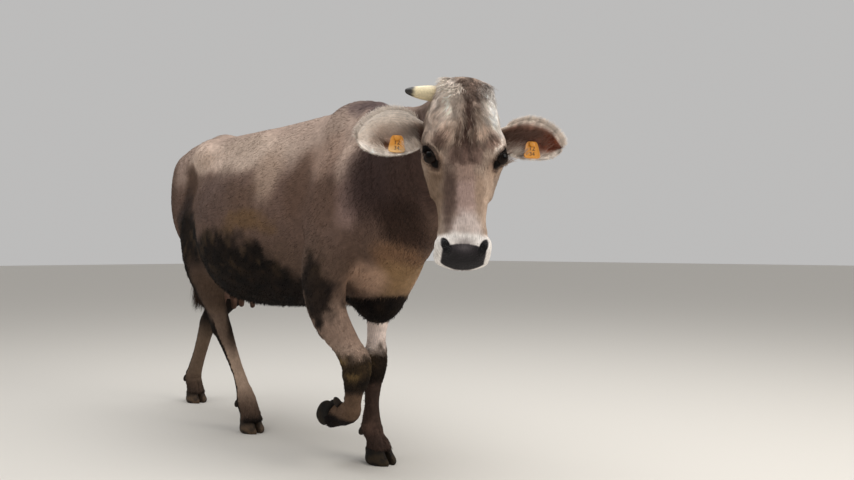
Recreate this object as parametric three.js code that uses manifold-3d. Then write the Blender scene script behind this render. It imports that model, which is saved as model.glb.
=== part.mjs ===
// Brown dairy cow in mid stride, life size, as a still museum model.
// Millimetres, +X to the head end, +Y to the cow's left, +Z up.
// The flesh is one smooth field. Each body region is meshed from it and parted by thin cuts.
import * as THREE from 'three';
import Module from 'manifold-3d';
import { mergeVertices } from 'three/addons/utils/BufferGeometryUtils.js';

const wasm = await Module();
wasm.setup();

// ---------------------------------------------------------------- driving sizes
const CUT_GAP = 0.3;          // width of the parting cuts
const SLIVER = 0.1;           // edges shorter than this are closed up after the cuts
const SEAT_GAP = 0.4;         // clearance of ears, horn and eyes in the head
const TRUNK_CELL = 79;        // mesh pitch on the trunk
const FORE_CELL = 29;         // mesh pitch on the fore legs
const HIND_CELL = 37;         // mesh pitch on the hind legs
const HEAD_SIDES = 18;        // points round one head section
const NECK_SIDES = 20;        // points round one neck section
const UDDER_CELL = 55;        // mesh pitch on the udder
const CORONET_HEIGHT = 66;    // where hair meets hoof on a standing foot

// The head turns to the cow's right and hangs a little forward of upright.
const POLL = [769, -233, 1340];
const HEAD_YAW = -36;
const HEAD_TILT = 15;
const HEAD_ROLL = -2.5;
// Stations at which the head's surface is measured, and how far its field reaches behind the throat.
const HEAD_RINGS = [-36, -14, 16, 56, 96, 134, 168, 200, 230, 262, 300, 345, 390, 430, 466, 494, 516, 534];
const HEAD_ROOT = 110;
const EYE_RADIUS = 22;
const EYE_SHOWN = 6;          // how far the eyeball stands out of the lids
const EYE_SEAT = { left: [218, 89, -80], right: [226, -86, -80] };
const EYE_LINE = 0.4;         // how far out the line of sight turns from straight ahead

// Ears: station of the root on the head, length, half width, wall, droop of the tip and twist of the cup.
const EARS = {
  left: { seat: 122, length: 214, width: 68, thick: 9, droop: 17, twist: 0.55 },
  right: { seat: 133, length: 212, width: 80, thick: 9, droop: 14, twist: 0.1 },
};
const EAR_RINGS = [0, 0.14, 0.32, 0.5, 0.68, 0.82, 0.93, 1];
// Horn rings on the head: along the nose, out to the left, up from the face, radius.
const HORN = [[14, -70, -52, 27], [12, -106, -53, 25], [12, -134, -52, 21], [12, -160, -49, 15], [12, -180, -46, 6]];
// Ear tags: seats on the head, half size, half thickness, and the stud's place and radius.
const TAG_SEAT = { left: [156, 221, -106], right: [166, -198, -94] };
const TAG_HALF = 28;
const TAG_THICK = 1.2;
const STUD = { above: 18, radius: 4, depth: 60 };

// Trunk sections: station x, top and bottom line, half width, height of the widest point,
// and the exponents of the upper and lower outline.
const TRUNK = [
  [-1440, 1325, 1130, 70, 1230, 2, 2],
  [-1400, 1375, 1040, 120, 1190, 2, 2],
  [-1300, 1388, 900, 165, 1130, 2, 2],
  [-1180, 1388, 780, 205, 1060, 2, 2],
  [-1050, 1388, 690, 250, 1010, 2, 2],
  [-930, 1390, 628, 296, 960, 1.9, 2.1],
  [-780, 1394, 598, 334, 925, 1.9, 2.2],
  [-620, 1398, 596, 340, 915, 1.85, 2.2],
  [-420, 1404, 606, 312, 915, 1.75, 2.2],
  [-220, 1412, 616, 262, 925, 1.6, 2.15],
  [-60, 1416, 622, 222, 940, 1.5, 2.1],
  [80, 1392, 620, 190, 960, 1.6, 2],
  [180, 1310, 686, 150, 985, 1.8, 2],
  [260, 1190, 816, 80, 1010, 2, 2],
];

// Head sections along the line from poll to muzzle, heights along the face normal.
const HEAD = [
  [-46, -45, -70, 36, -55, 2, 2],
  [-34, -22, -95, 60, -57, 2.1, 2],
  [-8, -2, -125, 77, -60, 2.4, 2],
  [30, 6, -155, 95, -62, 2.6, 2],
  [80, 9, -190, 110, -62, 2.8, 2],
  [140, 8, -222, 117, -62, 2.8, 2],
  [200, 2, -236, 118, -62, 2.7, 2.1],
  [250, -5, -232, 105, -66, 2.4, 2.2],
  [310, -9, -205, 87, -72, 2.3, 2.3],
  [370, -9, -174, 77, -78, 2.3, 2.4],
  [408, -8, -156, 73, -79, 2.4, 2.4],
  [450, -8, -140, 77, -78, 2.5, 2.4],
  [490, -16, -132, 85, -76, 2.4, 2.4],
  [520, -34, -126, 85, -82, 2.3, 2.3],
  [540, -58, -116, 69, -88, 2.2, 2.2],
  [552, -80, -102, 34, -91, 2, 2],
];

// Limb, neck and tail stations: x, y, z, half width across, half width fore and aft.
const FORE_LEFT = [
  [40, 145, 930, 70, 110], [2, 130, 830, 76, 100], [-28, 102, 690, 60, 74], [-48, 74, 580, 46, 53],
  [-42, 56, 480, 39, 41], [-30, 45, 420, 48, 50], [-28, 40, 375, 46, 48], [-38, 40, 315, 35, 37],
  [-50, 42, 240, 31, 33], [-58, 48, 175, 36, 39], [-66, 55, 135, 43, 46], [-54, 61, 98, 40, 42],
  [-38, 66, 60, 48, 52], [-30, 67, 30, 50, 54],
];
const FORE_RIGHT = [
  [0, -160, 950, 70, 125], [8, -200, 850, 80, 128], [-6, -218, 735, 70, 116], [22, -216, 610, 60, 88],
  [98, -190, 500, 50, 58], [136, -175, 438, 57, 58], [128, -166, 385, 52, 54], [94, -150, 330, 38, 40],
  [62, -134, 278, 34, 36], [30, -121, 240, 42, 44], [-6, -115, 222, 43, 46], [-40, -114, 211, 41, 43],
  [-74, -115, 204, 46, 48], [-108, -116, 201, 46, 46],
];
const HIND_RIGHT = [
  [-1180, -120, 1150, 90, 190], [-1110, -165, 960, 95, 170], [-1050, -195, 800, 82, 122],
  [-1032, -180, 690, 64, 90], [-1026, -150, 600, 48, 70], [-1022, -125, 520, 42, 62],
  [-1006, -112, 460, 42, 53], [-978, -98, 390, 35, 42], [-930, -78, 280, 30, 33], [-900, -64, 200, 36, 41],
  [-884, -56, 140, 46, 52], [-866, -51, 98, 46, 51], [-852, -48, 60, 49, 54], [-845, -48, 30, 48, 52],
];
const HIND_LEFT = [
  [-1230, 120, 1150, 90, 190], [-1210, 165, 960, 95, 170], [-1226, 190, 810, 82, 122],
  [-1310, 170, 690, 64, 90], [-1412, 135, 590, 48, 69], [-1498, 102, 520, 44, 66],
  [-1554, 84, 460, 45, 59], [-1592, 80, 390, 39, 50], [-1652, 82, 290, 36, 45], [-1706, 84, 205, 38, 46],
  [-1746, 86, 140, 45, 52], [-1734, 86, 98, 45, 50], [-1716, 86, 60, 47, 50], [-1708, 86, 30, 48, 52],
];
const NECK = [
  [60, 0, 1040, 205, 325], [200, -20, 1075, 168, 296], [330, -62, 1108, 136, 243],
  [460, -112, 1140, 118, 200], [580, -165, 1170, 106, 168], [690, -205, 1205, 98, 142],
];
const DEWLAP = [
  [600, -165, 1010, 48, 56], [480, -115, 935, 36, 54], [350, -62, 856, 33, 52],
  [215, -18, 776, 37, 49], [92, 0, 692, 50, 58],
];
const TEAT = [[645, 17], [590, 15], [563, 12], [556, 7]];   // height and radius
const TEAT_ROWS = [-1020, -1130];
const TAIL = [
  [-1405, 0, 1380, 32, 28], [-1455, 0, 1345, 30, 26], [-1486, 2, 1270, 25, 24], [-1500, 5, 1150, 20, 20],
  [-1504, 10, 950, 17, 17], [-1502, 18, 780, 16, 16],
];
const TAIL_SWITCH = [
  [-1502, 18, 780, 15, 15], [-1501, 21, 720, 28, 28], [-1499, 25, 640, 38, 38], [-1496, 28, 560, 36, 36],
  [-1492, 30, 500, 22, 22], [-1490, 31, 470, 6, 6],
];

// Colours as sRGB, with roughness.
const FINISH = {
  flank: [0x8d7a69, 0.85],
  dark: [0x5c4d44, 0.85],
  leg: [0x8a7869, 0.85],
  face: [0xa89684, 0.8],
  ear: [0xc8b8a4, 0.9],
  udder: [0xa88678, 0.7],
  hoof: [0x332d29, 0.6],
  eye: [0x15100d, 0.12],
  horn: [0xd6c8a4, 0.45],
  tag: [0xd8962c, 0.5],
  hair: [0x2a2320, 0.95],
};

// ---------------------------------------------------------------- vectors
const add = (a, b, k = 1) => [a[0] + b[0] * k, a[1] + b[1] * k, a[2] + b[2] * k];
const dot = (a, b) => a[0] * b[0] + a[1] * b[1] + a[2] * b[2];
const cross = (a, b) => [
  a[1] * b[2] - a[2] * b[1], a[2] * b[0] - a[0] * b[2], a[0] * b[1] - a[1] * b[0],
];
const size = a => Math.hypot(...a);
const unit = a => a.map(v => v / size(a));
const mix = (a, b, t) => a.map((v, i) => v + (b[i] - v) * t);
const clamp = (v, low, high) => Math.min(Math.max(v, low), high);
const radians = THREE.MathUtils.degToRad;
const UP = [0, 0, 1];
const LEFT = [0, 1, 0];

/** Turns v about a unit axis. */
function turn(v, axis, angle) {
  const [c, s] = [Math.cos(angle), Math.sin(angle)];
  return add(add(v.map(n => n * c), cross(axis, v), s), axis, dot(axis, v) * (1 - c));
}

/** Head axes: nose runs poll to muzzle, left across, face out of the forehead. */
function headAxes() {
  const [yaw, tilt, roll] = [HEAD_YAW, HEAD_TILT, HEAD_ROLL].map(radians);
  const ahead = [Math.cos(yaw), Math.sin(yaw), 0];
  const left = [-Math.sin(yaw), Math.cos(yaw), 0];
  const nose = add(ahead.map(v => v * Math.sin(tilt)), UP, -Math.cos(tilt));
  const face = add(ahead.map(v => v * Math.cos(tilt)), UP, Math.sin(tilt));
  return [nose, left, face].map(v => turn(v, ahead, roll));
}
const [NOSE, HEAD_LEFT, FACE] = headAxes();
const HEAD_FRAME = [NOSE, HEAD_LEFT, FACE];
const onHead = (along, out, up) => add(add(add(POLL, NOSE, along), HEAD_LEFT, out), FACE, up);

// ---------------------------------------------------------------- field shapes
/** Smooth value of one column of a station table at t, flat beyond both ends. */
function along(rows, column, t) {
  const x = clamp(t, rows[0][0], rows.at(-1)[0]);
  let i = rows.findIndex(row => row[0] >= x) - 1;
  i = clamp(i, 0, rows.length - 2);
  const slope = k => (rows[k + 1][column] - rows[k][column]) / (rows[k + 1][0] - rows[k][0]);
  const span = k => rows[k + 1][0] - rows[k][0];
  const tangent = k => {
    if (k === 0) return slope(0);
    if (k === rows.length - 1) return slope(k - 1);
    return (slope(k) * span(k - 1) + slope(k - 1) * span(k)) / (span(k) + span(k - 1));
  };
  const h = span(i);
  const s = (x - rows[i][0]) / h;
  return (2 * s ** 3 - 3 * s ** 2 + 1) * rows[i][column] + (s ** 3 - 2 * s ** 2 + s) * h * tangent(i)
    + (3 * s ** 2 - 2 * s ** 3) * rows[i + 1][column] + (s ** 3 - s ** 2) * h * tangent(i + 1);
}

/** Body of sections set along the first axis of a frame. */
function sectioned(origin, axes, rows) {
  return p => {
    const v = add(p, origin, -1);
    const [t, across, height] = axes.map(axis => dot(v, axis));
    const [top, bottom, half, widest, above, below] = [1, 2, 3, 4, 5, 6].map(c => along(rows, c, t));
    const rise = height - widest;
    const reach = Math.max(rise > 0 ? top - widest : widest - bottom, 1);
    const power = rise > 0 ? above : below;
    const share = (Math.abs(across) / Math.max(half, 1)) ** power + (Math.abs(rise) / reach) ** power;
    const radius = Math.hypot(across, rise) + 1e-6;
    const distance = radius - radius / (share ** (1 / power) + 1e-9);
    const over = Math.max(rows[0][0] - t, t - rows.at(-1)[0]);
    return over > 0 ? Math.hypot(Math.max(distance, 0), over) : distance;
  };
}

/** Ellipsoid with its radii along three axes. */
function egg(centre, radii, axes = [[1, 0, 0], LEFT, UP]) {
  const frame = axes.map(unit);
  return p => {
    const v = frame.map(axis => dot(add(p, centre, -1), axis));
    const radius = size(v) + 1e-9;
    return radius - radius / (size(v.map((n, i) => n / radii[i])) + 1e-9);
  };
}

/** Tapered rod, narrowed along side by the factor flat. */
function rod(a, b, radiusA, radiusB, side = UP, flat = 1) {
  const run = add(b, a, -1);
  const across = unit(side);
  return p => {
    const from = add(p, a, -1);
    const t = clamp(dot(from, run) / dot(run, run), 0, 1);
    const c = add(from, run, -t);
    const square = dot(c, c);
    const stretched = square + dot(c, across) ** 2 * (1 / flat ** 2 - 1);
    const radius = Math.sqrt(square) + 1e-9;
    return radius - radius * (radiusA + (radiusB - radiusA) * t) / (Math.sqrt(stretched) + 1e-9);
  };
}

/** Stations filled in along a smooth curve through them all. */
function filled(stations, per) {
  const first = stations[0].map((v, i) => 2 * v - stations[1][i]);
  const last = stations.at(-1).map((v, i) => 2 * v - stations.at(-2)[i]);
  const s = [first, ...stations, last];
  const out = [];
  for (let i = 1; i < s.length - 2; i++) {
    for (let k = 0; k < per; k++) {
      const t = k / per;
      out.push(s[i].map((b, j) => 0.5 * (2 * b + (s[i + 1][j] - s[i - 1][j]) * t
        + (2 * s[i - 1][j] - 5 * b + 4 * s[i + 1][j] - s[i + 2][j]) * t * t
        + (3 * b - s[i - 1][j] - 3 * s[i + 1][j] + s[i + 2][j]) * t ** 3)));
    }
  }
  return [...out, stations.at(-1)];
}

/** Limb along a curve of stations: the union of short tapered rods of elliptical section. */
function limb(stations, side = LEFT, per = 4) {
  const rows = filled(stations, per);
  const across = unit(side);
  return p => {
    let nearest = Infinity;
    for (let i = 0; i < rows.length - 1; i++) {
      const run = [rows[i + 1][0] - rows[i][0], rows[i + 1][1] - rows[i][1], rows[i + 1][2] - rows[i][2]];
      const from = [p[0] - rows[i][0], p[1] - rows[i][1], p[2] - rows[i][2]];
      const t = clamp(dot(from, run) / dot(run, run), 0, 1);
      const c = add(from, run, -t);
      const square = dot(c, c);
      const wide = rows[i][3] + (rows[i + 1][3] - rows[i][3]) * t;
      const deep = rows[i][4] + (rows[i + 1][4] - rows[i][4]) * t;
      const sideways = dot(c, across);
      const rest = Math.max(square - sideways ** 2, 0);
      const radius = Math.sqrt(square) + 1e-9;
      const stretched = Math.sqrt((sideways / wide) ** 2 + rest / deep ** 2) + 1e-9;
      nearest = Math.min(nearest, radius - radius / stretched);
    }
    return nearest;
  };
}

const softMin = (a, b, k) => Math.min(a, b) - Math.max(k - Math.abs(a - b), 0) ** 2 / (4 * k);

/** Sum of shapes blended over k millimetres each, some of them taken away. */
class Flesh {
  parts = [];

  grow(shape, k) {
    this.parts.push([shape, k, 1]);
  }

  hollow(shape, k) {
    this.parts.push([shape, k, -1]);
  }

  at = p => this.parts.reduce((sum, [shape, k, sign]) => (sign > 0
    ? softMin(sum, shape(p), k)
    : -softMin(-sum, shape(p), k)), 1000);
}

// ---------------------------------------------------------------- the whole body
/** Shoulder, loin, hip and thigh of one side, 1 left and -1 right. */
function growSide(flesh, sign) {
  const at = (x, y, z) => [x, sign * y, z];
  flesh.grow(rod(at(-70, 62, 1335), at(180, 140, 1010), 66, 84, at(0.4, 1, 0.3), 0.6), 90);
  flesh.grow(egg(at(10, 160, 1010), [160, 58, 180]), 90);
  flesh.grow(egg(at(200, 112, 980), [66, 66, 92]), 80);
  flesh.grow(rod(at(-560, 140, 1308), at(-900, 186, 1308), 24, 34), 100);
  flesh.grow(egg(at(-940, 224, 1288), [58, 38, 38]), 55);
  flesh.grow(rod(at(-945, 198, 1300), at(-1060, 80, 1352), 30, 36), 90);
  flesh.grow(egg(at(-1120, 110, 1238), [230, 110, 120]), 90);
  flesh.grow(egg(at(-1434, 84, 1256), [44, 38, 40]), 55);
  flesh.grow(rod(at(-1000, 194, 1262), at(-1420, 96, 1256), 44, 36), 90);
  flesh.grow(egg(at(-1300, 124, 1068), [144, 104, 242], [[1, 0, 0.25], LEFT, [-0.25, 0, 1]]), 80);
  flesh.hollow(egg(at(-800, 362, 1205), [130, 80, 100]), 80);
}

function growTrunk(flesh) {
  flesh.grow(sectioned([0, 0, 0], [[1, 0, 0], LEFT, UP], TRUNK), 1);
  [1, -1].forEach(sign => growSide(flesh, sign));
  flesh.grow(rod([-1240, 0, 1366], [-1405, 0, 1376], 32, 30), 60);
  flesh.grow(rod([60, 0, 1360], [-150, 0, 1380], 34, 32), 80);
  flesh.grow(egg([44, 0, 650], [102, 68, 90]), 70);
}

function growNeck(flesh) {
  const [start, end] = [NECK[1], NECK.at(-1)];
  flesh.grow(limb(NECK, cross(UP, unit(add(end.slice(0, 3), start.slice(0, 3), -1))), 3), 55);
  const run = add(DEWLAP[0].slice(0, 3), DEWLAP.at(-1).slice(0, 3), -1);
  flesh.grow(limb(DEWLAP, cross(UP, [run[0], run[1], 0]), 3), 70);
}

function growHead(flesh) {
  flesh.grow(sectioned(POLL, HEAD_FRAME, HEAD), 40);
  for (const sign of [1, -1]) {
    flesh.grow(egg(onHead(182, sign * 104, -46), [50, 27, 34], HEAD_FRAME), 24);
    flesh.grow(rod(onHead(225, sign * 102, -84), onHead(320, sign * 82, -92), 24, 14), 30);
    flesh.grow(egg(onHead(190, sign * 66, -165), [75, 36, 62], HEAD_FRAME), 40);
    flesh.grow(egg(onHead(6, sign * 62, -44), [32, 30, 26], HEAD_FRAME), 26);
    flesh.grow(egg(onHead(490, sign * 57, -48), [34, 27, 28], HEAD_FRAME), 18);
  }
  flesh.grow(egg(onHead(508, 0, -118), [36, 50, 20], HEAD_FRAME), 20);
}

/** Lower point of the hock with the tendon that runs up to the thigh. */
function growHock(flesh, point, stations) {
  const calf = add(stations[3].slice(0, 3), [-60, 0, 30]);
  flesh.grow(rod(point, add(point, [28, 0, -80]), 22, 26), 24);
  flesh.grow(rod(point, calf, 19, 26), 26);
}

function growLimbs(flesh) {
  flesh.grow(limb(FORE_LEFT), 45);
  flesh.grow(limb(FORE_RIGHT), 45);
  flesh.grow(limb(HIND_RIGHT), 70);
  flesh.grow(limb(HIND_LEFT), 70);
  growHock(flesh, [-1066, -128, 548], HIND_RIGHT);
  growHock(flesh, [-1576, 94, 548], HIND_LEFT);
  flesh.grow(egg([-1130, 0, 722], [200, 100, 125]), 60);
}

const body = new Flesh();
growTrunk(body);
growNeck(body);
growHead(body);
growLimbs(body);

// ---------------------------------------------------------------- meshing
/** Slope of a field by central differences. */
function slopeOf(field, p, step = 2) {
  return [0, 1, 2].map(i => {
    const d = [0, 0, 0];
    d[i] = step;
    return (field(add(p, d)) - field(add(p, d, -1))) / (2 * step);
  });
}

/** Moves a point onto the surface of a field, by no more than reach. */
function settle(field, p, reach) {
  let q = p;
  for (let i = 0; i < 3; i++) {
    const g = slopeOf(field, q);
    const step = -field(q) / Math.max(dot(g, g), 0.2);
    q = add(q, g, clamp(step, -reach, reach));
  }
  return size(add(q, p, -1)) < reach ? q : p;
}

/** Closed mesh of the inside of a field between two corners, on a grid of cells. */
function gridMesh(field, low, high, cell) {
  const count = low.map((v, i) => Math.ceil((high[i] - v) / cell) + 1);
  const index = (i, j, k) => (i * count[1] + j) * count[2] + k;
  const corner = (i, j, k) => [low[0] + i * cell, low[1] + j * cell, low[2] + k * cell];
  const value = new Float64Array(count[0] * count[1] * count[2]);
  const each = (end, visit) => {
    for (let i = 0; i < end[0]; i++) {
      for (let j = 0; j < end[1]; j++) for (let k = 0; k < end[2]; k++) visit(i, j, k);
    }
  };
  each(count, (i, j, k) => {
    const edge = [i, j, k].some((n, axis) => n === 0 || n === count[axis] - 1);
    value[index(i, j, k)] = edge ? cell : field(corner(i, j, k));
  });
  const points = [];
  const owner = new Map();
  each(count.map(n => n - 1), (i, j, k) => {
    const crossings = [];
    for (let a = 0; a < 8; a++) {
      const from = [i + (a & 1), j + ((a >> 1) & 1), k + (a >> 2)];
      for (let axis = 0; axis < 3; axis++) {
        if ((a >> axis) & 1) continue;
        const to = [...from];
        to[axis] += 1;
        const [u, v] = [value[index(...from)], value[index(...to)]];
        if (u < 0 !== v < 0) crossings.push(mix(corner(...from), corner(...to), u / (u - v)));
      }
    }
    if (!crossings.length) return;
    const sum = crossings.reduce((s, c) => add(s, c), [0, 0, 0]);
    owner.set(index(i, j, k), points.length);
    points.push(settle(field, sum.map(v => v / crossings.length), cell * 0.6));
  });
  const faces = [];
  each(count.map(n => n - 1), (i, j, k) => {
    for (let axis = 0; axis < 3; axis++) {
      const [u, v] = [(axis + 1) % 3, (axis + 2) % 3];
      const here = [i, j, k];
      if (here[u] === 0 || here[v] === 0) continue;
      const next = [...here];
      next[axis] += 1;
      const inside = value[index(...here)] < 0;
      if (inside === value[index(...next)] < 0) continue;
      const cellAt = (du, dv) => {
        const c = [...here];
        c[u] -= du;
        c[v] -= dv;
        return owner.get(index(...c));
      };
      const quad = [cellAt(1, 1), cellAt(0, 1), cellAt(0, 0), cellAt(1, 0)];
      const [a, b, c, d] = inside ? quad : quad.reverse();
      faces.push([a, b, c], [a, c, d]);
    }
  });
  return solid(points, faces);
}

/** Manifold body from points and outward faces. */
function solid(points, faces) {
  return new wasm.Manifold(new wasm.Mesh({
    numProp: 3,
    vertProperties: new Float32Array(points.flat()),
    triVerts: new Uint32Array(faces.flat()),
  }));
}

/** The largest separate piece of a body. */
const largest = made => made.decompose().reduce((best, piece) => (piece.volume() > best.volume() ? piece : best));

/** Closed mesh through rings of equal length, with a fan at either end. */
function ringed(rings) {
  const n = rings[0].length;
  const middle = ring => ring.reduce((s, p) => add(s, p, 1 / n), [0, 0, 0]);
  const points = [...rings.flat(), middle(rings[0]), middle(rings.at(-1))];
  const faces = [];
  for (let i = 0; i < rings.length - 1; i++) {
    for (let j = 0; j < n; j++) {
      const [a, b] = [i * n + j, i * n + (j + 1) % n];
      faces.push([a, b, b + n], [a, b + n, a + n]);
    }
  }
  const last = (rings.length - 1) * n;
  for (let j = 0; j < n; j++) {
    faces.push([points.length - 2, (j + 1) % n, j]);
    faces.push([points.length - 1, last + j, last + (j + 1) % n]);
  }
  const made = solid(points, faces);
  return made.volume() > 0 ? made : solid(points, faces.map(([a, b, c]) => [a, c, b]));
}

/** Distance from a centre to the surface of a field in one direction. */
function reachOf(field, centre, direction, limit) {
  let [inner, outer] = [0, 8];
  while (outer < limit && field(add(centre, direction, outer)) < 0) [inner, outer] = [outer, outer + 8];
  for (let i = 0; i < 12; i++) {
    const middle = (inner + outer) / 2;
    if (field(add(centre, direction, middle)) < 0) inner = middle;
    else outer = middle;
  }
  return inner;
}

/** Ring of surface points about a centre in the plane of two directions. */
function fieldRing(field, centre, first, second, sides, limit) {
  return Array.from({ length: sides }, (_, j) => {
    const angle = (j / sides) * 2 * Math.PI;
    const direction = add(first.map(v => v * Math.cos(angle)), second, Math.sin(angle));
    return add(centre, direction, reachOf(field, centre, direction, limit));
  });
}

/** Body through elliptical rings of stations. */
function rope(stations, sides, per) {
  const rows = filled(stations, per);
  return ringed(rows.map((row, i) => {
    const ahead = rows[Math.min(i + 1, rows.length - 1)].slice(0, 3);
    const behind = rows[Math.max(i - 1, 0)].slice(0, 3);
    const run = unit(add(ahead, behind, -1));
    const deep = unit(cross(run, LEFT));
    const wide = cross(deep, run);
    return Array.from({ length: sides }, (_, j) => {
      const angle = (j / sides) * 2 * Math.PI;
      const p = add(row.slice(0, 3), wide, row[3] * Math.cos(angle));
      return add(p, deep, row[4] * Math.sin(angle));
    });
  }));
}

// ---------------------------------------------------------------- cutting
/** three.js geometry as a manifold body. */
function fromGeometry(geometry) {
  geometry.deleteAttribute('normal');
  geometry.deleteAttribute('uv');
  const merged = mergeVertices(geometry);
  return new wasm.Manifold(new wasm.Mesh({
    numProp: 3,
    vertProperties: new Float32Array(merged.attributes.position.array),
    triVerts: new Uint32Array(merged.index.array),
  }));
}

/** Box between two corners. */
function block(low, high) {
  const span = add(high, low, -1);
  const geometry = new THREE.BoxGeometry(...span);
  geometry.translate(...mix(low, high, 0.5));
  return fromGeometry(geometry);
}

/** Everything on the side of a plane to which the normal points, kept off it by gap. */
function beyond(point, normal, gap) {
  const span = 6000;
  const geometry = new THREE.BoxGeometry(span, span, span);
  geometry.translate(0, 0, span / 2 + gap);
  const tilt = new THREE.Quaternion().setFromUnitVectors(new THREE.Vector3(...UP), new THREE.Vector3(...normal));
  geometry.applyQuaternion(tilt);
  geometry.translate(...point);
  return fromGeometry(geometry);
}

const HALF_GAP = CUT_GAP / 2;
const TRUNK_SPACE = [[-1560, -430, 480], [470, 430, 1500]];
const NECK_BASE = { point: [205, -10, 1120], normal: unit([0.93, -0.17, 0.32]) };
const THROAT = { point: onHead(100, 0, -160), normal: unit(add(NOSE.map(v => v * 0.555), FACE, 0.832)) };
const back = v => v.map(n => -n);

// Region of each leg and of the udder, as box corners.
const REGIONS = {
  fore_leg_left: [[-220, 30, -20], [260, 330, 606]],
  fore_leg_right: [[-220, -360, -20], [330, -92, 655]],
  hind_leg_left: [[-1900, 90, -20], [-960, 360, 700]],
  hind_leg_right: [[-1300, -360, -20], [-930, -90, 700]],
  udder: [[-1400, -90, 550], [-960, 90, 700]],
};
// The left hind leg runs inward below the hock, and the right one forward under the belly.
const LOWER = {
  hind_leg_left: [[-1900, -40, -20], [-1405, 360, 590]],
  hind_leg_right: [[-1300, -360, -20], [-780, 30, 550]],
};

/** Boxes of one region, each drawn in by inset. */
function regionOf(name, inset) {
  const shrink = ([low, high]) => block(low.map(v => v + inset), high.map(v => v - inset));
  const upper = shrink(REGIONS[name]);
  return LOWER[name] ? upper.add(shrink(LOWER[name])) : upper;
}

// ---------------------------------------------------------------- body regions
function trunkBody() {
  const front = beyond(NECK_BASE.point, back(NECK_BASE.normal), HALF_GAP);
  let made = gridMesh(body.at, ...TRUNK_SPACE, TRUNK_CELL).intersect(front);
  for (const name of Object.keys(REGIONS)) made = made.subtract(regionOf(name, -HALF_GAP));
  return made;
}

/** Neck as rings about its centre line, from inside the trunk to inside the head. */
function neckBody() {
  const line = filled([[110, 2, 1090], [330, -62, 1075], [560, -157, 1130], [740, -215, 1190]], 3);
  const rings = line.map((centre, i) => {
    const ahead = line[Math.min(i + 1, line.length - 1)];
    const behind = line[Math.max(i - 1, 0)];
    const run = unit(add(ahead, behind, -1));
    const level = unit(cross(UP, run));
    return fieldRing(body.at, centre, level, cross(run, level), NECK_SIDES, 520);
  });
  return ringed(rings)
    .intersect(beyond(NECK_BASE.point, NECK_BASE.normal, HALF_GAP))
    .intersect(beyond(THROAT.point, back(THROAT.normal), HALF_GAP));
}

/** Head as rings from poll to muzzle. Grow moves its surface out. */
function headBody(grow = 0) {
  const behind = p => dot(add(p, THROAT.point, -1), back(THROAT.normal)) - HEAD_ROOT;
  const field = p => Math.max(body.at(p) - grow, behind(p));
  const rings = HEAD_RINGS.map(a => {
    const centre = onHead(a, 0, along(HEAD, 4, a) + 6);
    return fieldRing(field, centre, HEAD_LEFT, FACE, HEAD_SIDES, 300);
  });
  return ringed(rings).intersect(beyond(THROAT.point, THROAT.normal, HALF_GAP - grow));
}

/** Box that holds the claws of a foot, from under the sole up to the coronet. */
function clawSpace(foot) {
  const [long, wide, deep] = [300, 200, 60];
  const geometry = new THREE.BoxGeometry(long, wide, CORONET_HEIGHT + deep);
  geometry.translate(0, 0, (CORONET_HEIGHT - deep) / 2);
  const axes = foot.axes.map(axis => new THREE.Vector3(...axis));
  geometry.applyMatrix4(new THREE.Matrix4().makeBasis(...axes).setPosition(...foot.at));
  return fromGeometry(geometry);
}

/** One leg from its region, ending above the claws. */
function legBody(name, foot, low, high) {
  const cell = name.startsWith('fore') ? FORE_CELL : HIND_CELL;
  const whole = gridMesh(body.at, low, high, cell).intersect(regionOf(name, HALF_GAP));
  const horny = [1, -1].map(sign => dewclawBody(foot, sign, SEAT_GAP));
  return [clawSpace(foot), ...horny].reduce((rest, taken) => rest.subtract(taken), whole);
}

function udderBody() {
  let made = gridMesh(body.at, [-1400, -200, 480], [-880, 200, 800], UDDER_CELL)
    .intersect(regionOf('udder', HALF_GAP));
  for (const x of TEAT_ROWS) {
    for (const sign of [1, -1]) {
      made = made.add(rope(TEAT.map(([z, radius]) => [x, sign * 50, z, radius, radius]), 8, 1));
    }
  }
  return made;
}

// ---------------------------------------------------------------- feet
/** Axes of a foot: where the toes point, the cow's left, and up out of the sole. */
function footAxes(pitch) {
  const ahead = [Math.cos(pitch), 0, Math.sin(pitch)];
  return [ahead, LEFT, cross(ahead, LEFT)];
}

/** Outline of one claw at one height, its flat side towards the cleft. */
function clawRing(place, sign, height, length, width, shift) {
  const inner = 3;
  return Array.from({ length: 12 }, (_, j) => {
    const angle = (j / 12) * 2 * Math.PI;
    const [c, s] = [Math.cos(angle), Math.sin(angle)];
    const forward = shift + (length / 2) * c * (c > 0 ? 1.04 : 1);
    const taper = 1 - 0.3 * Math.max(c, 0) ** 2;
    const across = s > 0 ? inner + width * taper * (0.3 + 0.7 * s) : inner + width * 0.3 * (1 + s) * taper;
    return place(forward, sign * across, height);
  });
}

/** One claw: flat sole, sloping toe wall, soft heel. */
function clawBody(foot, sign) {
  const [ahead, left, up] = foot.axes;
  const place = (f, s, h) => add(add(add(foot.at, ahead, f), left, s), up, h);
  const k = foot.scale;
  const rings = [
    clawRing(place, sign, 0, 118 * k, 50 * k, 6 * k),
    clawRing(place, sign, 8, 124 * k, 53 * k, 5 * k),
    clawRing(place, sign, 36, 108 * k, 50 * k, -6 * k),
    clawRing(place, sign, CORONET_HEIGHT - CUT_GAP, 86 * k, 45 * k, -18 * k),
  ];
  return ringed(rings);
}

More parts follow.
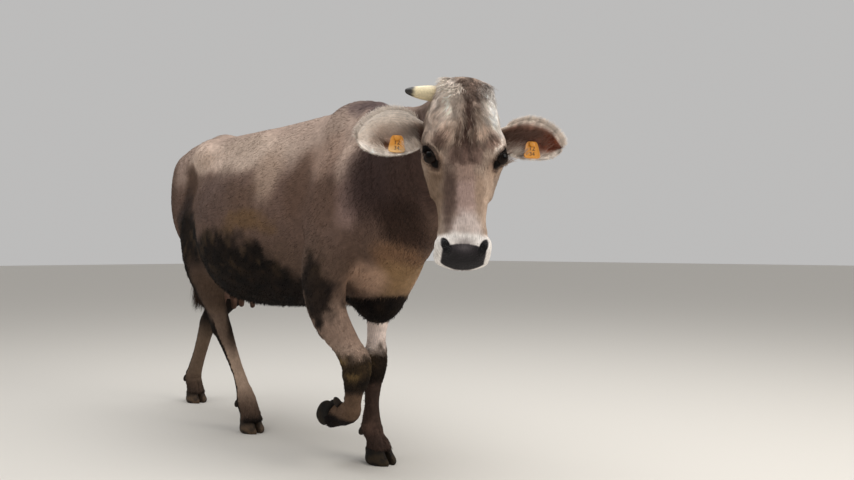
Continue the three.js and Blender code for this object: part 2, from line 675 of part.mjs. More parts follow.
/** Small horny point behind the fetlock. */
function dewclawBody(foot, sign, clearance = 0) {
  const [root, direction] = foot.dewclaw;
  const side = unit(cross(direction, LEFT));
  const centre = add(root, LEFT, sign * 25);
  const outline = [[-8, 13], [10, 15], [26, 12], [36, 5]];
  return ringed(outline.map(([t, radius], i) => Array.from({ length: 6 }, (_, j) => {
    const angle = (j / 6) * 2 * Math.PI;
    const r = radius + clearance * 1.3;
    const p = add(centre, unit(direction), i === 0 ? t - clearance : t);
    return add(add(p, side, r * Math.cos(angle)), LEFT, 0.85 * r * Math.sin(angle));
  })));
}

// Middle of each sole, its axes, its size against the fore foot, and the dewclaws' root and direction.
const FEET = {
  fore_left: { at: [-26, 67, 0], axes: footAxes(0), scale: 1, dewclaw: [[-92, 56, 128], [-0.7, 0, -0.7]] },
  fore_right: {
    at: [-136, -116, 217], axes: footAxes(radians(-104)), scale: 0.9, dewclaw: [[-22, -114, 258], [-0.8, 0, 0.6]],
  },
  hind_left: { at: [-1708, 86, 0], axes: footAxes(0), scale: 0.94, dewclaw: [[-1782, 86, 132], [-0.7, 0, -0.7]] },
  hind_right: { at: [-846, -48, 0], axes: footAxes(0), scale: 0.94, dewclaw: [[-918, -55, 132], [-0.7, 0, -0.7]] },
};

// ---------------------------------------------------------------- head fittings
/** Cupped ear, its hollow facing forward. Sign 1 is the left one. */
function earBody(sign) {
  const ear = sign > 0 ? EARS.left : EARS.right;
  const root = onHead(ear.seat, sign * 112, -104);
  const out = unit(add(add(HEAD_LEFT.map(v => v * sign), NOSE, ear.droop / ear.length), FACE, -0.06));
  const face = turn(unit(add(FACE, out, -dot(FACE, out))), out, sign * ear.twist);
  const down = cross(out, face).map(v => -v * sign);
  const rings = [];
  for (const t of EAR_RINGS) {
    const half = Math.max(ear.width * Math.sin(Math.PI * (0.12 + 0.88 * t) ** 1.1) ** 0.5, 8);
    const depth = 42 * (1 - t) + 10;
    const centre = add(add(root, out, ear.length * t), down, 10 * Math.sin(Math.PI * t));
    const shell = side => s => {
      const cup = depth * s * s;
      return add(add(centre, down, half * s), face, cup + side * ear.thick * (1 - 0.5 * t) - depth * 0.4);
    };
    const across = [-1, -0.6, 0, 0.6, 1];
    rings.push([...across.map(shell(-1)), ...across.slice().reverse().map(shell(1))]);
  }
  return ringed(rings);
}

/** Short horn, pale with a dark tip. */
function hornBody() {
  const rings = HORN.map(([a, s, u, r]) => Array.from({ length: 12 }, (_, j) => {
    const angle = (j / 12) * 2 * Math.PI;
    return onHead(a + r * Math.cos(angle), s, u + r * Math.sin(angle));
  }));
  return ringed(rings);
}

/** Ball with its poles along the line of sight, standing a little out of the head. */
function eyeBall(sign, radius) {
  const geometry = new THREE.SphereGeometry(radius, 12, 8);
  const sight = unit(add(FACE, HEAD_LEFT, sign * EYE_LINE));
  const seat = onHead(...(sign > 0 ? EYE_SEAT.left : EYE_SEAT.right));
  const depth = reachOf(body.at, seat, sight, 200) + EYE_SHOWN - EYE_RADIUS;
  geometry.applyQuaternion(new THREE.Quaternion().setFromUnitVectors(new THREE.Vector3(0, 1, 0),
    new THREE.Vector3(...sight)));
  geometry.translate(...add(seat, sight, depth));
  return fromGeometry(geometry);
}

/** Plain plate hanging in the ear, with its stud. */
function tagBody(sign, clearance = 0) {
  const centre = onHead(...(sign > 0 ? TAG_SEAT.left : TAG_SEAT.right));
  const [half, thick] = [TAG_HALF, TAG_THICK].map(v => v + clearance);
  const plate = at => [[-half * 0.62, -half], [half * 0.62, -half], [half, half], [-half, half]]
    .map(([s, a]) => add(add(add(centre, HEAD_LEFT, s), NOSE, a), FACE, at));
  const face = ringed([plate(-thick), plate(thick)]);
  const studRing = at => Array.from({ length: 8 }, (_, j) => {
    const angle = (j / 8) * 2 * Math.PI;
    const r = STUD.radius + clearance;
    const p = add(add(centre, NOSE, r * Math.cos(angle) - STUD.above), HEAD_LEFT, r * Math.sin(angle));
    return add(p, FACE, at);
  });
  return face.add(ringed([studRing(-STUD.depth), studRing(0)]));
}

// ---------------------------------------------------------------- assembly
const group = new THREE.Group();

/** Adds a body as a named node. */
function node(name, made, finish) {
  const mesh = largest(made).simplify(SLIVER).getMesh();
  const geometry = new THREE.BufferGeometry();
  geometry.setAttribute('position', new THREE.BufferAttribute(mesh.vertProperties, 3));
  geometry.setIndex(new THREE.BufferAttribute(mesh.triVerts, 1));
  geometry.computeVertexNormals();
  const [color, roughness] = FINISH[finish];
  const out = new THREE.Mesh(geometry, new THREE.MeshStandardMaterial({ color, roughness, metalness: 0 }));
  out.name = name;
  group.add(out);
}

const eyes = { left: eyeBall(1, EYE_RADIUS), right: eyeBall(-1, EYE_RADIUS) };
const grownHead = headBody(SEAT_GAP);
const sockets = eyeBall(1, EYE_RADIUS + SEAT_GAP).add(eyeBall(-1, EYE_RADIUS + SEAT_GAP));
const grownTrunk = gridMesh(p => body.at(p) - SEAT_GAP, ...TRUNK_SPACE, TRUNK_CELL);

node('trunk', trunkBody(), 'flank');
node('neck', neckBody(), 'dark');
node('head', headBody().subtract(sockets), 'face');
node('udder', udderBody(), 'udder');
const tailEnd = [0, 0, TAIL.at(-1)[2]];
node('tail', rope(TAIL, 10, 2).subtract(grownTrunk).intersect(beyond(tailEnd, UP, HALF_GAP)), 'flank');
node('tail_switch', rope(TAIL_SWITCH, 10, 1).intersect(beyond(tailEnd, back(UP), HALF_GAP)), 'hair');
node('horn_right', hornBody().subtract(grownHead), 'horn');
for (const [side, sign] of [['left', 1], ['right', -1]]) {
  node(`eye_${side}`, eyes[side], 'eye');
  node(`ear_${side}`, earBody(sign).subtract(grownHead).subtract(tagBody(sign, SEAT_GAP)), 'ear');
  node(`tag_${side}`, tagBody(sign), 'tag');
}

// Corners of the grid that each leg is meshed on.
const LEG_GRIDS = {
  fore_left: [[-200, -60, 10], [220, 330, 700]],
  fore_right: [[-230, -360, 100], [330, 0, 740]],
  hind_left: [[-1880, -40, 10], [-900, 380, 790]],
  hind_right: [[-1300, -380, 10], [-740, 40, 790]],
};
for (const [foot, [low, high]] of Object.entries(LEG_GRIDS)) {
  const name = foot.replace('_', '_leg_');
  node(name, legBody(name, FEET[foot], low, high), 'leg');
}
for (const [foot, spec] of Object.entries(FEET)) {
  for (const [side, sign] of [['left', 1], ['right', -1]]) {
    node(`claw_${foot}_${side}`, clawBody(spec, sign), 'hoof');
    node(`dewclaw_${foot}_${side}`, dewclawBody(spec, sign), 'hoof');
  }
}

const box = new THREE.Box3().setFromObject(group);
const middle = box.getCenter(new THREE.Vector3());
for (const mesh of group.children) mesh.geometry.translate(-middle.x, -middle.y, -box.min.z);

export default group;
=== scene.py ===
"""Brown dairy cow in mid stride, life size: skin, coat, eyes, horn, claws and ear tags.

The model's own frame is in metres. Shapes are worked out in a working frame in millimetres,
with +X to the head end, +Y to the cow's left and +Z up, and are moved over at the end.
"""

from __future__ import annotations

import logging
import math
from dataclasses import dataclass, field
from enum import Enum
from typing import Callable, Sequence

import bpy
import numpy as np
from mathutils import Matrix, Vector


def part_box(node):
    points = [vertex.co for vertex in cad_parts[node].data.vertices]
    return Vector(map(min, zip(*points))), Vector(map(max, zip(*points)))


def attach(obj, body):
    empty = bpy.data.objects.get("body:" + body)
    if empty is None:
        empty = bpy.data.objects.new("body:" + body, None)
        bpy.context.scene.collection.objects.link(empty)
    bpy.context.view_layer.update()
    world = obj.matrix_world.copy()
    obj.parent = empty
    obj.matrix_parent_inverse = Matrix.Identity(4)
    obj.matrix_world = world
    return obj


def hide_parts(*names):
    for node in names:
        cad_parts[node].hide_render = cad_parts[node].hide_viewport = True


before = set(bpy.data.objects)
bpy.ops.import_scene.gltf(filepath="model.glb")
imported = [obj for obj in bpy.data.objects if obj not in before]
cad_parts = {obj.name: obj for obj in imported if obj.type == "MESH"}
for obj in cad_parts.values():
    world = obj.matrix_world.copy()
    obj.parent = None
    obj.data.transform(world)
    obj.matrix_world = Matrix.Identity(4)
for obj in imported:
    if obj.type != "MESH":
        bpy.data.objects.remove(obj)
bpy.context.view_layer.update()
LOG = logging.getLogger("cow")

Array = np.ndarray
Triple = tuple[float, float, float]
UP = np.array([0.0, 0.0, 1.0])
LEFT = np.array([0.0, 1.0, 0.0])


# ------------------------------------------------------------------ small mathematics
def unit(v: Sequence[float]) -> Array:
    """Vector scaled to length one."""
    v = np.asarray(v, float)
    return v / np.linalg.norm(v)


def units(v: Array) -> Array:
    """Rows scaled to length one."""
    return v / np.maximum(np.linalg.norm(v, axis=1, keepdims=True), 1e-9)


def smooth(low: float, high: float, value: Array) -> Array:
    """Soft step from 0 at low to 1 at high: 3t^2 - 2t^3."""
    t = np.clip((value - low) / (high - low), 0.0, 1.0)
    return t * t * (3 - 2 * t)


def bell(value: Array, width: float) -> Array:
    """Bell curve exp(-(value / width)^2)."""
    return np.exp(-((value / width) ** 2))


def soft_min(a: Array, b: Array, k: float) -> Array:
    """Smaller of two fields, rounded over k: min(a, b) - max(k - |a - b|, 0)^2 / 4k."""
    return np.minimum(a, b) - np.maximum(k - np.abs(a - b), 0) ** 2 / (4 * k)


def turned(v: Array, axis: Array, angle: float) -> Array:
    """Vector turned about a unit axis, by Rodrigues' formula."""
    c, s = math.cos(angle), math.sin(angle)
    return v * c + np.cross(axis, v) * s + axis * (axis @ v) * (1 - c)


def noise(points: Array, size: float, seed: int = 0) -> Array:
    """Smooth random field from 0 to 1: hashed values at the corners of cells, blended.

    Args:
        points: Places, one a row.
        size: Cell size in the unit of the points.
        seed: Picks another field.

    Returns:
        One value a row.
    """
    q = points / size
    cell = np.floor(q).astype(np.int64)
    t = q - cell
    t = t * t * (3 - 2 * t)
    total = np.zeros(len(points))
    for corner in range(8):
        bits = np.array([corner & 1, corner >> 1 & 1, corner >> 2])
        key = ((cell + bits) * np.array([73856093, 19349663, 83492791])).sum(1) + seed * 104729
        key = ((key ^ (key >> 13)) * 1274126177) & 0x7FFFFFFF
        value = ((key ^ (key >> 11)) & 0xFFFF) / 65535.0
        total += value * np.prod(np.where(bits, t, 1 - t), axis=1)
    return total


def layered(points: Array, size: float, seed: int = 0) -> Array:
    """Sum of three noises, each half as large and half as strong, from 0 to 1."""
    return (noise(points, size, seed) * 4 + noise(points, size / 2, seed + 1) * 2
            + noise(points, size / 4, seed + 2)) / 7


def filled(rows: Sequence[Sequence[float]], per: int) -> Array:
    """Stations filled in by a Catmull-Rom curve, per steps between two of them."""
    rows = np.asarray(rows, float)
    s = np.vstack([2 * rows[0] - rows[1], rows, 2 * rows[-1] - rows[-2]])
    t = (np.arange(per) / per)[None, :, None]
    a, b, c, d = (s[i:len(s) - 3 + i, None, :] for i in range(4))
    curve = 0.5 * (2 * b + (c - a) * t + (2 * a - 5 * b + 4 * c - d) * t**2
                   + (3 * b - a - 3 * c + d) * t**3)
    return np.vstack([curve.reshape(-1, rows.shape[1]), rows[-1]])


def hermite(xs: Array, ys: Array, x: Array) -> Array:
    """Smooth value at x of a curve through stations, flat beyond both ends."""
    slope = np.diff(ys) / np.diff(xs)
    span = np.diff(xs)
    tangent = np.concatenate([
        slope[:1], (slope[1:] * span[:-1] + slope[:-1] * span[1:]) / (span[1:] + span[:-1]), slope[-1:]])
    x = np.clip(x, xs[0], xs[-1])
    i = np.clip(np.searchsorted(xs, x) - 1, 0, len(xs) - 2)
    h, t = span[i], (x - xs[i]) / span[i]
    return ((2 * t**3 - 3 * t**2 + 1) * ys[i] + (t**3 - 2 * t**2 + t) * h * tangent[i]
            + (3 * t**2 - 2 * t**3) * ys[i + 1] + (t**3 - t**2) * h * tangent[i + 1])


# ------------------------------------------------------------------ fields of flesh
@dataclass
class Sections:
    """Body of sections set along the first axis of a frame.

    Each row gives the station, top and bottom line, half width, height of the widest point,
    and the exponents of the upper and lower outline.
    """

    origin: Array
    axes: Array
    rows: Array

    def __post_init__(self) -> None:
        """Works out the box that holds the body."""
        r = self.rows = np.asarray(self.rows, float)
        corners = [self.origin + self.axes.T @ np.array([t, s, u])
                   for t in (r[0, 0], r[-1, 0]) for s in (-r[:, 3].max(), r[:, 3].max())
                   for u in (r[:, 2].min(), r[:, 1].max())]
        self.low, self.high = np.min(corners, 0), np.max(corners, 0)

    def value(self, points: Array) -> Array:
        """Rough distance to the outline: radius minus radius over the superellipse share."""
        local = (points - self.origin) @ self.axes.T
        t, across, height = local.T
        top, bottom, half, widest, above, below = (
            hermite(self.rows[:, 0], self.rows[:, c], t) for c in range(1, 7))
        rise = height - widest
        reach = np.maximum(np.where(rise > 0, top - widest, widest - bottom), 1)
        power = np.where(rise > 0, above, below)
        share = ((np.abs(across) / np.maximum(half, 1)) ** power + (np.abs(rise) / reach) ** power)
        radius = np.hypot(across, rise) + 1e-6
        distance = radius - radius / (share ** (1 / power) + 1e-9)
        over = np.maximum(self.rows[0, 0] - t, t - self.rows[-1, 0])
        return np.where(over > 0, np.hypot(np.maximum(distance, 0), over), distance)


@dataclass
class Egg:
    """Ellipsoid with its radii along three axes."""

    centre: Sequence[float]
    radii: Sequence[float]
    axes: Sequence[Sequence[float]] = ((1, 0, 0), (0, 1, 0), (0, 0, 1))

    def __post_init__(self) -> None:
        """Works out the box that holds the egg."""
        self.centre = np.asarray(self.centre, float)
        self.frame = np.array([unit(a) for a in self.axes])
        self.low, self.high = self.centre - max(self.radii), self.centre + max(self.radii)

    def value(self, points: Array) -> Array:
        """Rough distance: radius minus radius over the radius in units of the radii."""
        v = (points - self.centre) @ self.frame.T
        radius = np.linalg.norm(v, axis=1) + 1e-9
        return radius - radius / (np.linalg.norm(v / np.asarray(self.radii), axis=1) + 1e-9)


@dataclass
class Limb:
    """Union of short tapered rods along a curve of stations.

    Each station is x, y, z, the half width along side, and the half width across it.
    """

    stations: Sequence[Sequence[float]]
    side: Sequence[float] = (0, 1, 0)
    per: int = 4

    def __post_init__(self) -> None:
        """Fills in the stations and works out the box that holds them."""
        self.rows = filled(self.stations, self.per) if self.per > 1 else np.asarray(self.stations, float)
        self.side = unit(self.side)
        reach = self.rows[:, 3:5].max()
        self.low, self.high = self.rows[:, :3].min(0) - reach, self.rows[:, :3].max(0) + reach
        steps = np.linalg.norm(np.diff(self.rows[:, :3], axis=0), axis=1)
        self.length = np.concatenate([[0], np.cumsum(steps)])

    def _rods(self, points: Array):
        """Yields for each rod the share along it, the offset from it and its rough distance."""
        for start, end in zip(self.rows[:-1], self.rows[1:]):
            run = end[:3] - start[:3]
            rel = points - start[:3]
            t = np.clip(rel @ run / (run @ run), 0, 1)
            off = rel - t[:, None] * run
            square = np.einsum("ij,ij->i", off, off)
            sideways = off @ self.side
            wide = start[3] + (end[3] - start[3]) * t
            deep = start[4] + (end[4] - start[4]) * t
            rest = np.maximum(square - sideways**2, 0)
            radius = np.sqrt(square) + 1e-9
            yield t, off, radius - radius / (np.sqrt((sideways / wide) ** 2 + rest / deep**2) + 1e-9)

    def value(self, points: Array) -> Array:
        """Smallest rough distance to any rod."""
        nearest = np.full(len(points), 1e9)
        for _, _, distance in self._rods(points):
            np.minimum(nearest, distance, out=nearest)
        return nearest

    def place(self, points: Array) -> tuple[Array, Array]:
        """Arc length along the limb, and the angle about it from the direction opposite to side."""
        nearest = np.full(len(points), 1e9)
        along, angle = np.zeros(len(points)), np.zeros(len(points))
        for i, (t, off, distance) in enumerate(self._rods(points)):
            run = unit(self.rows[i + 1, :3] - self.rows[i, :3])
            front = np.cross(self.side, run)
            closer = distance < nearest
            nearest[closer] = distance[closer]
            along[closer] = (self.length[i] + t * (self.length[i + 1] - self.length[i]))[closer]
            angle[closer] = np.arctan2(off @ front, off @ self.side)[closer]
        return along, angle


def rod(a: Sequence[float], b: Sequence[float], start: float, end: float,
        side: Sequence[float] = (0, 0, 1), flat: float = 1.0) -> Limb:
    """Tapered rod, narrowed along side by the factor flat."""
    rows = [[*a, start * flat, start], [*b, end * flat, end]]
    return Limb(rows, side, per=1)


class Sign(Enum):
    """Whether a shape adds flesh or takes it away."""

    GROW = 1
    HOLLOW = -1


@dataclass
class Flesh:
    """Sum of shapes, each blended over its own distance, some of them taken away."""

    parts: list = field(default_factory=list)
    reach: float = 130.0

    def grow(self, shape: object, k: float) -> None:
        """Adds a shape, blended over k."""
        self.parts.append((shape, k, Sign.GROW))

    def hollow(self, shape: object, k: float) -> None:
        """Takes a shape away, blended over k."""
        self.parts.append((shape, k, Sign.HOLLOW))

    def value(self, points: Array) -> Array:
        """Rough distance to the surface, negative inside. Shapes far from a point are skipped."""
        total = np.full(len(points), 1000.0)
        for shape, k, sign in self.parts:
            near = np.nonzero(np.all((points > shape.low - self.reach)
                                     & (points < shape.high + self.reach), axis=1))[0]
            if not len(near):
                continue
            value = shape.value(points[near])
            if sign is Sign.GROW:
                total[near] = soft_min(total[near], value, k)
            else:
                total[near] = -soft_min(-total[near], value, k)
        return total


@dataclass
class Slot:
    """Lens-shaped opening seen along a line of sight, for the gap between two lids."""

    centre: Array
    long: Array
    short: Array
    sight: Array
    half_length: float
    upper: float
    lower: float
    depth: float

    def __post_init__(self) -> None:
        """Works out the box that holds the opening."""
        self.low, self.high = self.centre - 60, self.centre + 60

    def outline(self, points: Array) -> Array:
        """Distance to the lens between two arcs, one for each lid, in the plane across the sight."""
        rel = points - self.centre
        x, y = rel @ self.long, rel @ self.short
        up = (self.half_length**2 + self.upper**2) / (2 * self.upper)
        down = (self.half_length**2 + self.lower**2) / (2 * self.lower)
        return np.maximum(np.hypot(x, y + up - self.upper) - up, np.hypot(x, y - down + self.lower) - down)

    def value(self, points: Array) -> Array:
        """Distance to the opening in front of its depth."""
        return np.maximum(self.outline(points), self.depth - (points - self.centre) @ self.sight)


@dataclass
class Below:
    """Block under a foot, whose top is where the hair ends inside the claws."""

    at: Array
    axes: Array
    top: float
    half: Triple = (150.0, 100.0, 90.0)

    def __post_init__(self) -> None:
        """Works out the box that holds the block."""
        self.low, self.high = self.at - 200, self.at + 200

    def value(self, points: Array) -> Array:
        """Distance to the block, rough outside its corners."""
        local = (points - self.at) @ self.axes.T
        local[:, 2] += self.half[2] - self.top
        return np.max(np.abs(local) - np.asarray(self.half), axis=1)


# ------------------------------------------------------------------ the cow's own shape
class Side(Enum):
    """Side of the cow, as the sign of y."""

    LEFT = 1
    RIGHT = -1


@dataclass
class HeadFrame:
    """Axes of the turned head: nose from poll to muzzle, left across, face out of the forehead."""

    poll: Triple = (769, -233, 1340)
    yaw: float = -36
    tilt: float = 15
    roll: float = -2.5

    def __post_init__(self) -> None:
        """Turns the axes by yaw, tilt and roll."""
        yaw, tilt, roll = (math.radians(v) for v in (self.yaw, self.tilt, self.roll))
        ahead = np.array([math.cos(yaw), math.sin(yaw), 0])
        left = np.array([-math.sin(yaw), math.cos(yaw), 0])
        nose = ahead * math.sin(tilt) - UP * math.cos(tilt)
        face = ahead * math.cos(tilt) + UP * math.sin(tilt)
        self.axes = np.array([turned(v, ahead, roll) for v in (nose, left, face)])
        self.nose, self.left, self.face = self.axes
        self.origin = np.array(self.poll, float)

    def at(self, along: float, out: float, up: float) -> Array:
        """Place given along the nose, out to the left and up from the face."""
        return self.origin + along * self.nose + out * self.left + up * self.face

    def local(self, points: Array) -> Array:
        """Places in the head's own axes, one a row."""
        return (points - self.origin) @ self.axes.T


@dataclass
class Foot:
    """One foot: middle of its sole, its axes, its scale and its dewclaws."""

    name: str
    at: Array
    pitch: float
    scale: float
    dewclaw_root: Triple
    dewclaw_way: Triple

    def __post_init__(self) -> None:
        """Works out where the toes point, the cow's left and up out of the sole."""
        ahead = np.array([math.cos(self.pitch), 0, math.sin(self.pitch)])
        self.at = np.asarray(self.at, float)
        self.axes = np.array([ahead, LEFT, np.cross(ahead, LEFT)])

    def place(self, forward: Array, left: Array, up: Array) -> Array:
        """Places given ahead, left and up from the middle of the sole."""
        return self.at + np.stack([forward, left, up], -1) @ self.axes


@dataclass
class Ear:
    """Cupped ear: a leaf-shaped shell whose hollow faces forward."""

    side: Side
    head: HeadFrame
    length: float = 206.0
    thick: float = 6.0

    def __post_init__(self) -> None:
        """Sets the ear's root and axes on the head."""
        sign = self.side.value
        seat, self.width, droop, twist = ((122, 60.0, 17.0, 0.55) if self.side is Side.LEFT
                                          else (133, 72.0, 14.0, 0.1))
        self.root = self.head.at(seat, sign * 112, -104)
        self.out = unit(self.head.left * sign + self.head.nose * droop / 214 - 0.06 * self.head.face)
        face = unit(self.head.face - self.out * (self.head.face @ self.out))
        self.face = turned(face, self.out, sign * twist)
        self.down = -np.cross(self.out, self.face) * sign

    def half(self, t: Array) -> Array:
        """Half width at share t of the length: width sqrt(sin(pi (0.12 + 0.88 t)^1.1))."""
        return np.maximum(self.width * np.sqrt(np.maximum(
            np.sin(np.pi * (0.12 + 0.88 * np.clip(t, 0, 1)) ** 1.1), 0)), 3)

    def depth(self, t: Array) -> Array:
        """Depth of the cup at share t."""
        return 42 * (1 - t) + 10

    def surface(self, t: Array, s: Array, w: Array) -> Array:
        """Place at share t of the length, share s across and w millimetres in front of the shell.

        The shell is a parabola across: depth (s^2 - 0.4) towards the face.
        """
        centre = (self.root + self.out * (self.length * t)[..., None]
                  + self.down * (10 * np.sin(np.pi * np.clip(t, 0, 1)))[..., None])
        cup = self.depth(t) * (s**2 - 0.4)
        return centre + self.down * (self.half(t) * s)[..., None] + self.face * (cup + w)[..., None]

    def local(self, points: Array) -> tuple[Array, Array, Array]:
        """Share along, share across and height in front of the shell, of each place."""
        rel = points - self.root
        t = rel @ self.out / self.length
        s = (rel @ self.down - 10 * np.sin(np.pi * np.clip(t, 0, 1))) / self.half(t)
        w = rel @ self.face - self.depth(t) * (s**2 - 0.4)
        return t, s, w

    def holds(self, points: Array) -> Array:
        """Which places lie on the ear."""
        t, s, w = self.local(points)
        return (t > 0.02) & (t < 1.2) & (np.abs(s) < 1.6) & (np.abs(w) < 40)


@dataclass
class Eye:
    """Eyeball with the gap of its lids. The long axis slants from the inner corner up and out."""

    side: Side
    head: HeadFrame
    centre: Array
    radius: float = 22.0

    def __post_init__(self) -> None:
        """Works out the line of sight and the axes of the gap between the lids."""
        sign = self.side.value
        self.sight = unit(self.head.left * sign * 0.4 + self.head.face)
        nose = self.head.nose - self.sight * (self.head.nose @ self.sight)
        long = unit(nose)
        upper = np.cross(long, self.sight) * sign
        slant = math.radians(32)
        self.long = unit(long * math.cos(slant) + upper * math.sin(slant))
        self.short = unit(upper - self.long * (upper @ self.long))
        self.slot = Slot(self.centre, self.long, self.short, self.sight, 27.0, 9.5, 8.5, 9.0)


class CowShape:
    """Tables of the body, and the flesh field made from them."""

    TRUNK = [
        [-1440, 1325, 1130, 70, 1230, 2, 2], [-1400, 1375, 1040, 120, 1190, 2, 2],
        [-1300, 1388, 900, 165, 1130, 2, 2], [-1180, 1388, 780, 205, 1060, 2, 2],
        [-1050, 1388, 690, 250, 1010, 2, 2], [-930, 1390, 628, 296, 960, 1.9, 2.1],
        [-780, 1394, 598, 334, 925, 1.9, 2.2], [-620, 1398, 596, 340, 915, 1.85, 2.2],
        [-420, 1404, 606, 312, 915, 1.75, 2.2], [-220, 1412, 616, 262, 925, 1.6, 2.15],
        [-60, 1416, 622, 222, 940, 1.5, 2.1], [80, 1392, 620, 190, 960, 1.6, 2],
        [180, 1310, 686, 150, 985, 1.8, 2], [260, 1190, 816, 80, 1010, 2, 2]]
    HEAD = [
        [-46, -45, -70, 36, -55, 2, 2], [-34, -22, -95, 60, -57, 2.1, 2],
        [-8, -2, -125, 77, -60, 2.4, 2], [30, 6, -155, 95, -62, 2.6, 2],
        [80, 9, -190, 110, -62, 2.8, 2], [140, 8, -222, 117, -62, 2.8, 2],
        [200, 2, -236, 118, -62, 2.7, 2.1], [250, -5, -232, 105, -66, 2.4, 2.2],
        [310, -9, -205, 87, -72, 2.3, 2.3], [370, -9, -174, 77, -78, 2.3, 2.4],
        [408, -8, -156, 73, -79, 2.4, 2.4], [450, -8, -140, 77, -78, 2.5, 2.4],
        [490, -16, -132, 85, -76, 2.4, 2.4], [520, -34, -126, 85, -82, 2.3, 2.3],
        [540, -58, -116, 69, -88, 2.2, 2.2], [552, -80, -102, 34, -91, 2, 2]]
    FORE_LEFT = [
        [40, 145, 930, 70, 110], [2, 130, 830, 76, 100], [-28, 102, 690, 60, 74], [-48, 74, 580, 46, 53],
        [-42, 56, 480, 39, 41], [-30, 45, 420, 48, 50], [-28, 40, 375, 46, 48], [-38, 40, 315, 35, 37],
        [-50, 42, 240, 31, 33], [-58, 48, 175, 36, 39], [-66, 55, 135, 43, 46], [-54, 61, 98, 40, 42],
        [-38, 66, 60, 48, 52], [-30, 67, 30, 50, 54]]
    FORE_RIGHT = [
        [0, -160, 950, 70, 125], [8, -200, 850, 80, 128], [-6, -218, 735, 70, 116], [22, -216, 610, 60, 88],
        [98, -190, 500, 50, 58], [136, -175, 438, 57, 58], [128, -166, 385, 52, 54], [94, -150, 330, 38, 40],
        [62, -134, 278, 34, 36], [30, -121, 240, 42, 44], [-6, -115, 222, 43, 46], [-40, -114, 211, 41, 43],
        [-74, -115, 204, 46, 48], [-108, -116, 201, 46, 46]]
    HIND_RIGHT = [
        [-1180, -120, 1150, 90, 190], [-1110, -165, 960, 95, 170], [-1050, -195, 800, 82, 122],
        [-1032, -180, 690, 64, 90], [-1026, -150, 600, 48, 70], [-1022, -125, 520, 42, 62],
        [-1006, -112, 460, 42, 53], [-978, -98, 390, 35, 42], [-930, -78, 280, 30, 33],
        [-900, -64, 200, 36, 41], [-884, -56, 140, 46, 52], [-866, -51, 98, 46, 51],
        [-852, -48, 60, 49, 54], [-845, -48, 30, 48, 52]]
    HIND_LEFT = [
        [-1230, 120, 1150, 90, 190], [-1210, 165, 960, 95, 170], [-1226, 190, 810, 82, 122],
        [-1310, 170, 690, 64, 90], [-1412, 135, 590, 48, 69], [-1498, 102, 520, 44, 66],
        [-1554, 84, 460, 45, 59], [-1592, 80, 390, 39, 50], [-1652, 82, 290, 36, 45],
        [-1706, 84, 205, 38, 46], [-1746, 86, 140, 45, 52], [-1734, 86, 98, 45, 50],
        [-1716, 86, 60, 47, 50], [-1708, 86, 30, 48, 52]]
    NECK = [
        [60, 0, 1040, 205, 325], [200, -20, 1075, 168, 296], [330, -62, 1108, 136, 243],
        [460, -112, 1140, 118, 200], [580, -165, 1170, 106, 168], [690, -205, 1205, 98, 142]]
    DEWLAP = [
        [600, -165, 1010, 48, 56], [480, -115, 935, 36, 54], [350, -62, 856, 33, 52],
        [215, -18, 776, 37, 49], [92, 0, 692, 50, 58]]
    TAIL = [
        [-1405, 0, 1380, 32, 28], [-1455, 0, 1345, 30, 26], [-1486, 2, 1270, 25, 24],
        [-1500, 5, 1150, 20, 20], [-1504, 10, 950, 17, 17], [-1502, 18, 780, 16, 16],
        [-1500, 21, 680, 14, 14]]
    HOCKS = {"HIND_RIGHT": (-1066, -128, 548), "HIND_LEFT": (-1576, 94, 548)}

    def __init__(self, shift: Array, eye_centres: dict[Side, Array]) -> None:
        """Builds the field.

        Args:
            shift: Offset from the working frame to the model's own frame, in millimetres.
            eye_centres: Middle of each eyeball in the working frame.
        """
        self.shift = shift
        self.head = HeadFrame()
        self.eyes = {side: Eye(side, self.head, centre) for side, centre in eye_centres.items()}
        self.ears = {side: Ear(side, self.head) for side in Side}
        self.feet = [
            Foot("fore_left", (-26, 67, 0), 0.0, 1.0, (-92, 56, 128), (-0.7, 0, -0.7)),
            Foot("fore_right", (-136, -116, 217), math.radians(-104), 0.9, (-22, -114, 258), (-0.8, 0, 0.6)),
            Foot("hind_left", (-1708, 86, 0), 0.0, 0.94, (-1782, 86, 132), (-0.7, 0, -0.7)),
            Foot("hind_right", (-846, -48, 0), 0.0, 0.94, (-918, -55, 132), (-0.7, 0, -0.7))]
        along_neck = unit(np.subtract(self.NECK[-1][:3], self.NECK[1][:3]))
        hang = np.subtract(self.DEWLAP[0][:2], self.DEWLAP[-1][:2])
        self.limbs = {
            "fore_left": Limb(self.FORE_LEFT), "fore_right": Limb(self.FORE_RIGHT),
            "hind_right": Limb(self.HIND_RIGHT), "hind_left": Limb(self.HIND_LEFT),
            "neck": Limb(self.NECK, np.cross(UP, along_neck), per=3),
            "dewlap": Limb(self.DEWLAP, np.cross(UP, [*hang, 0]), per=3), "tail": Limb(self.TAIL)}
        self.flesh = Flesh()
        self._grow_trunk()
        self.flesh.grow(self.limbs["neck"], 55)
        self.flesh.grow(self.limbs["dewlap"], 70)
        self._grow_head()
        self._grow_limbs()

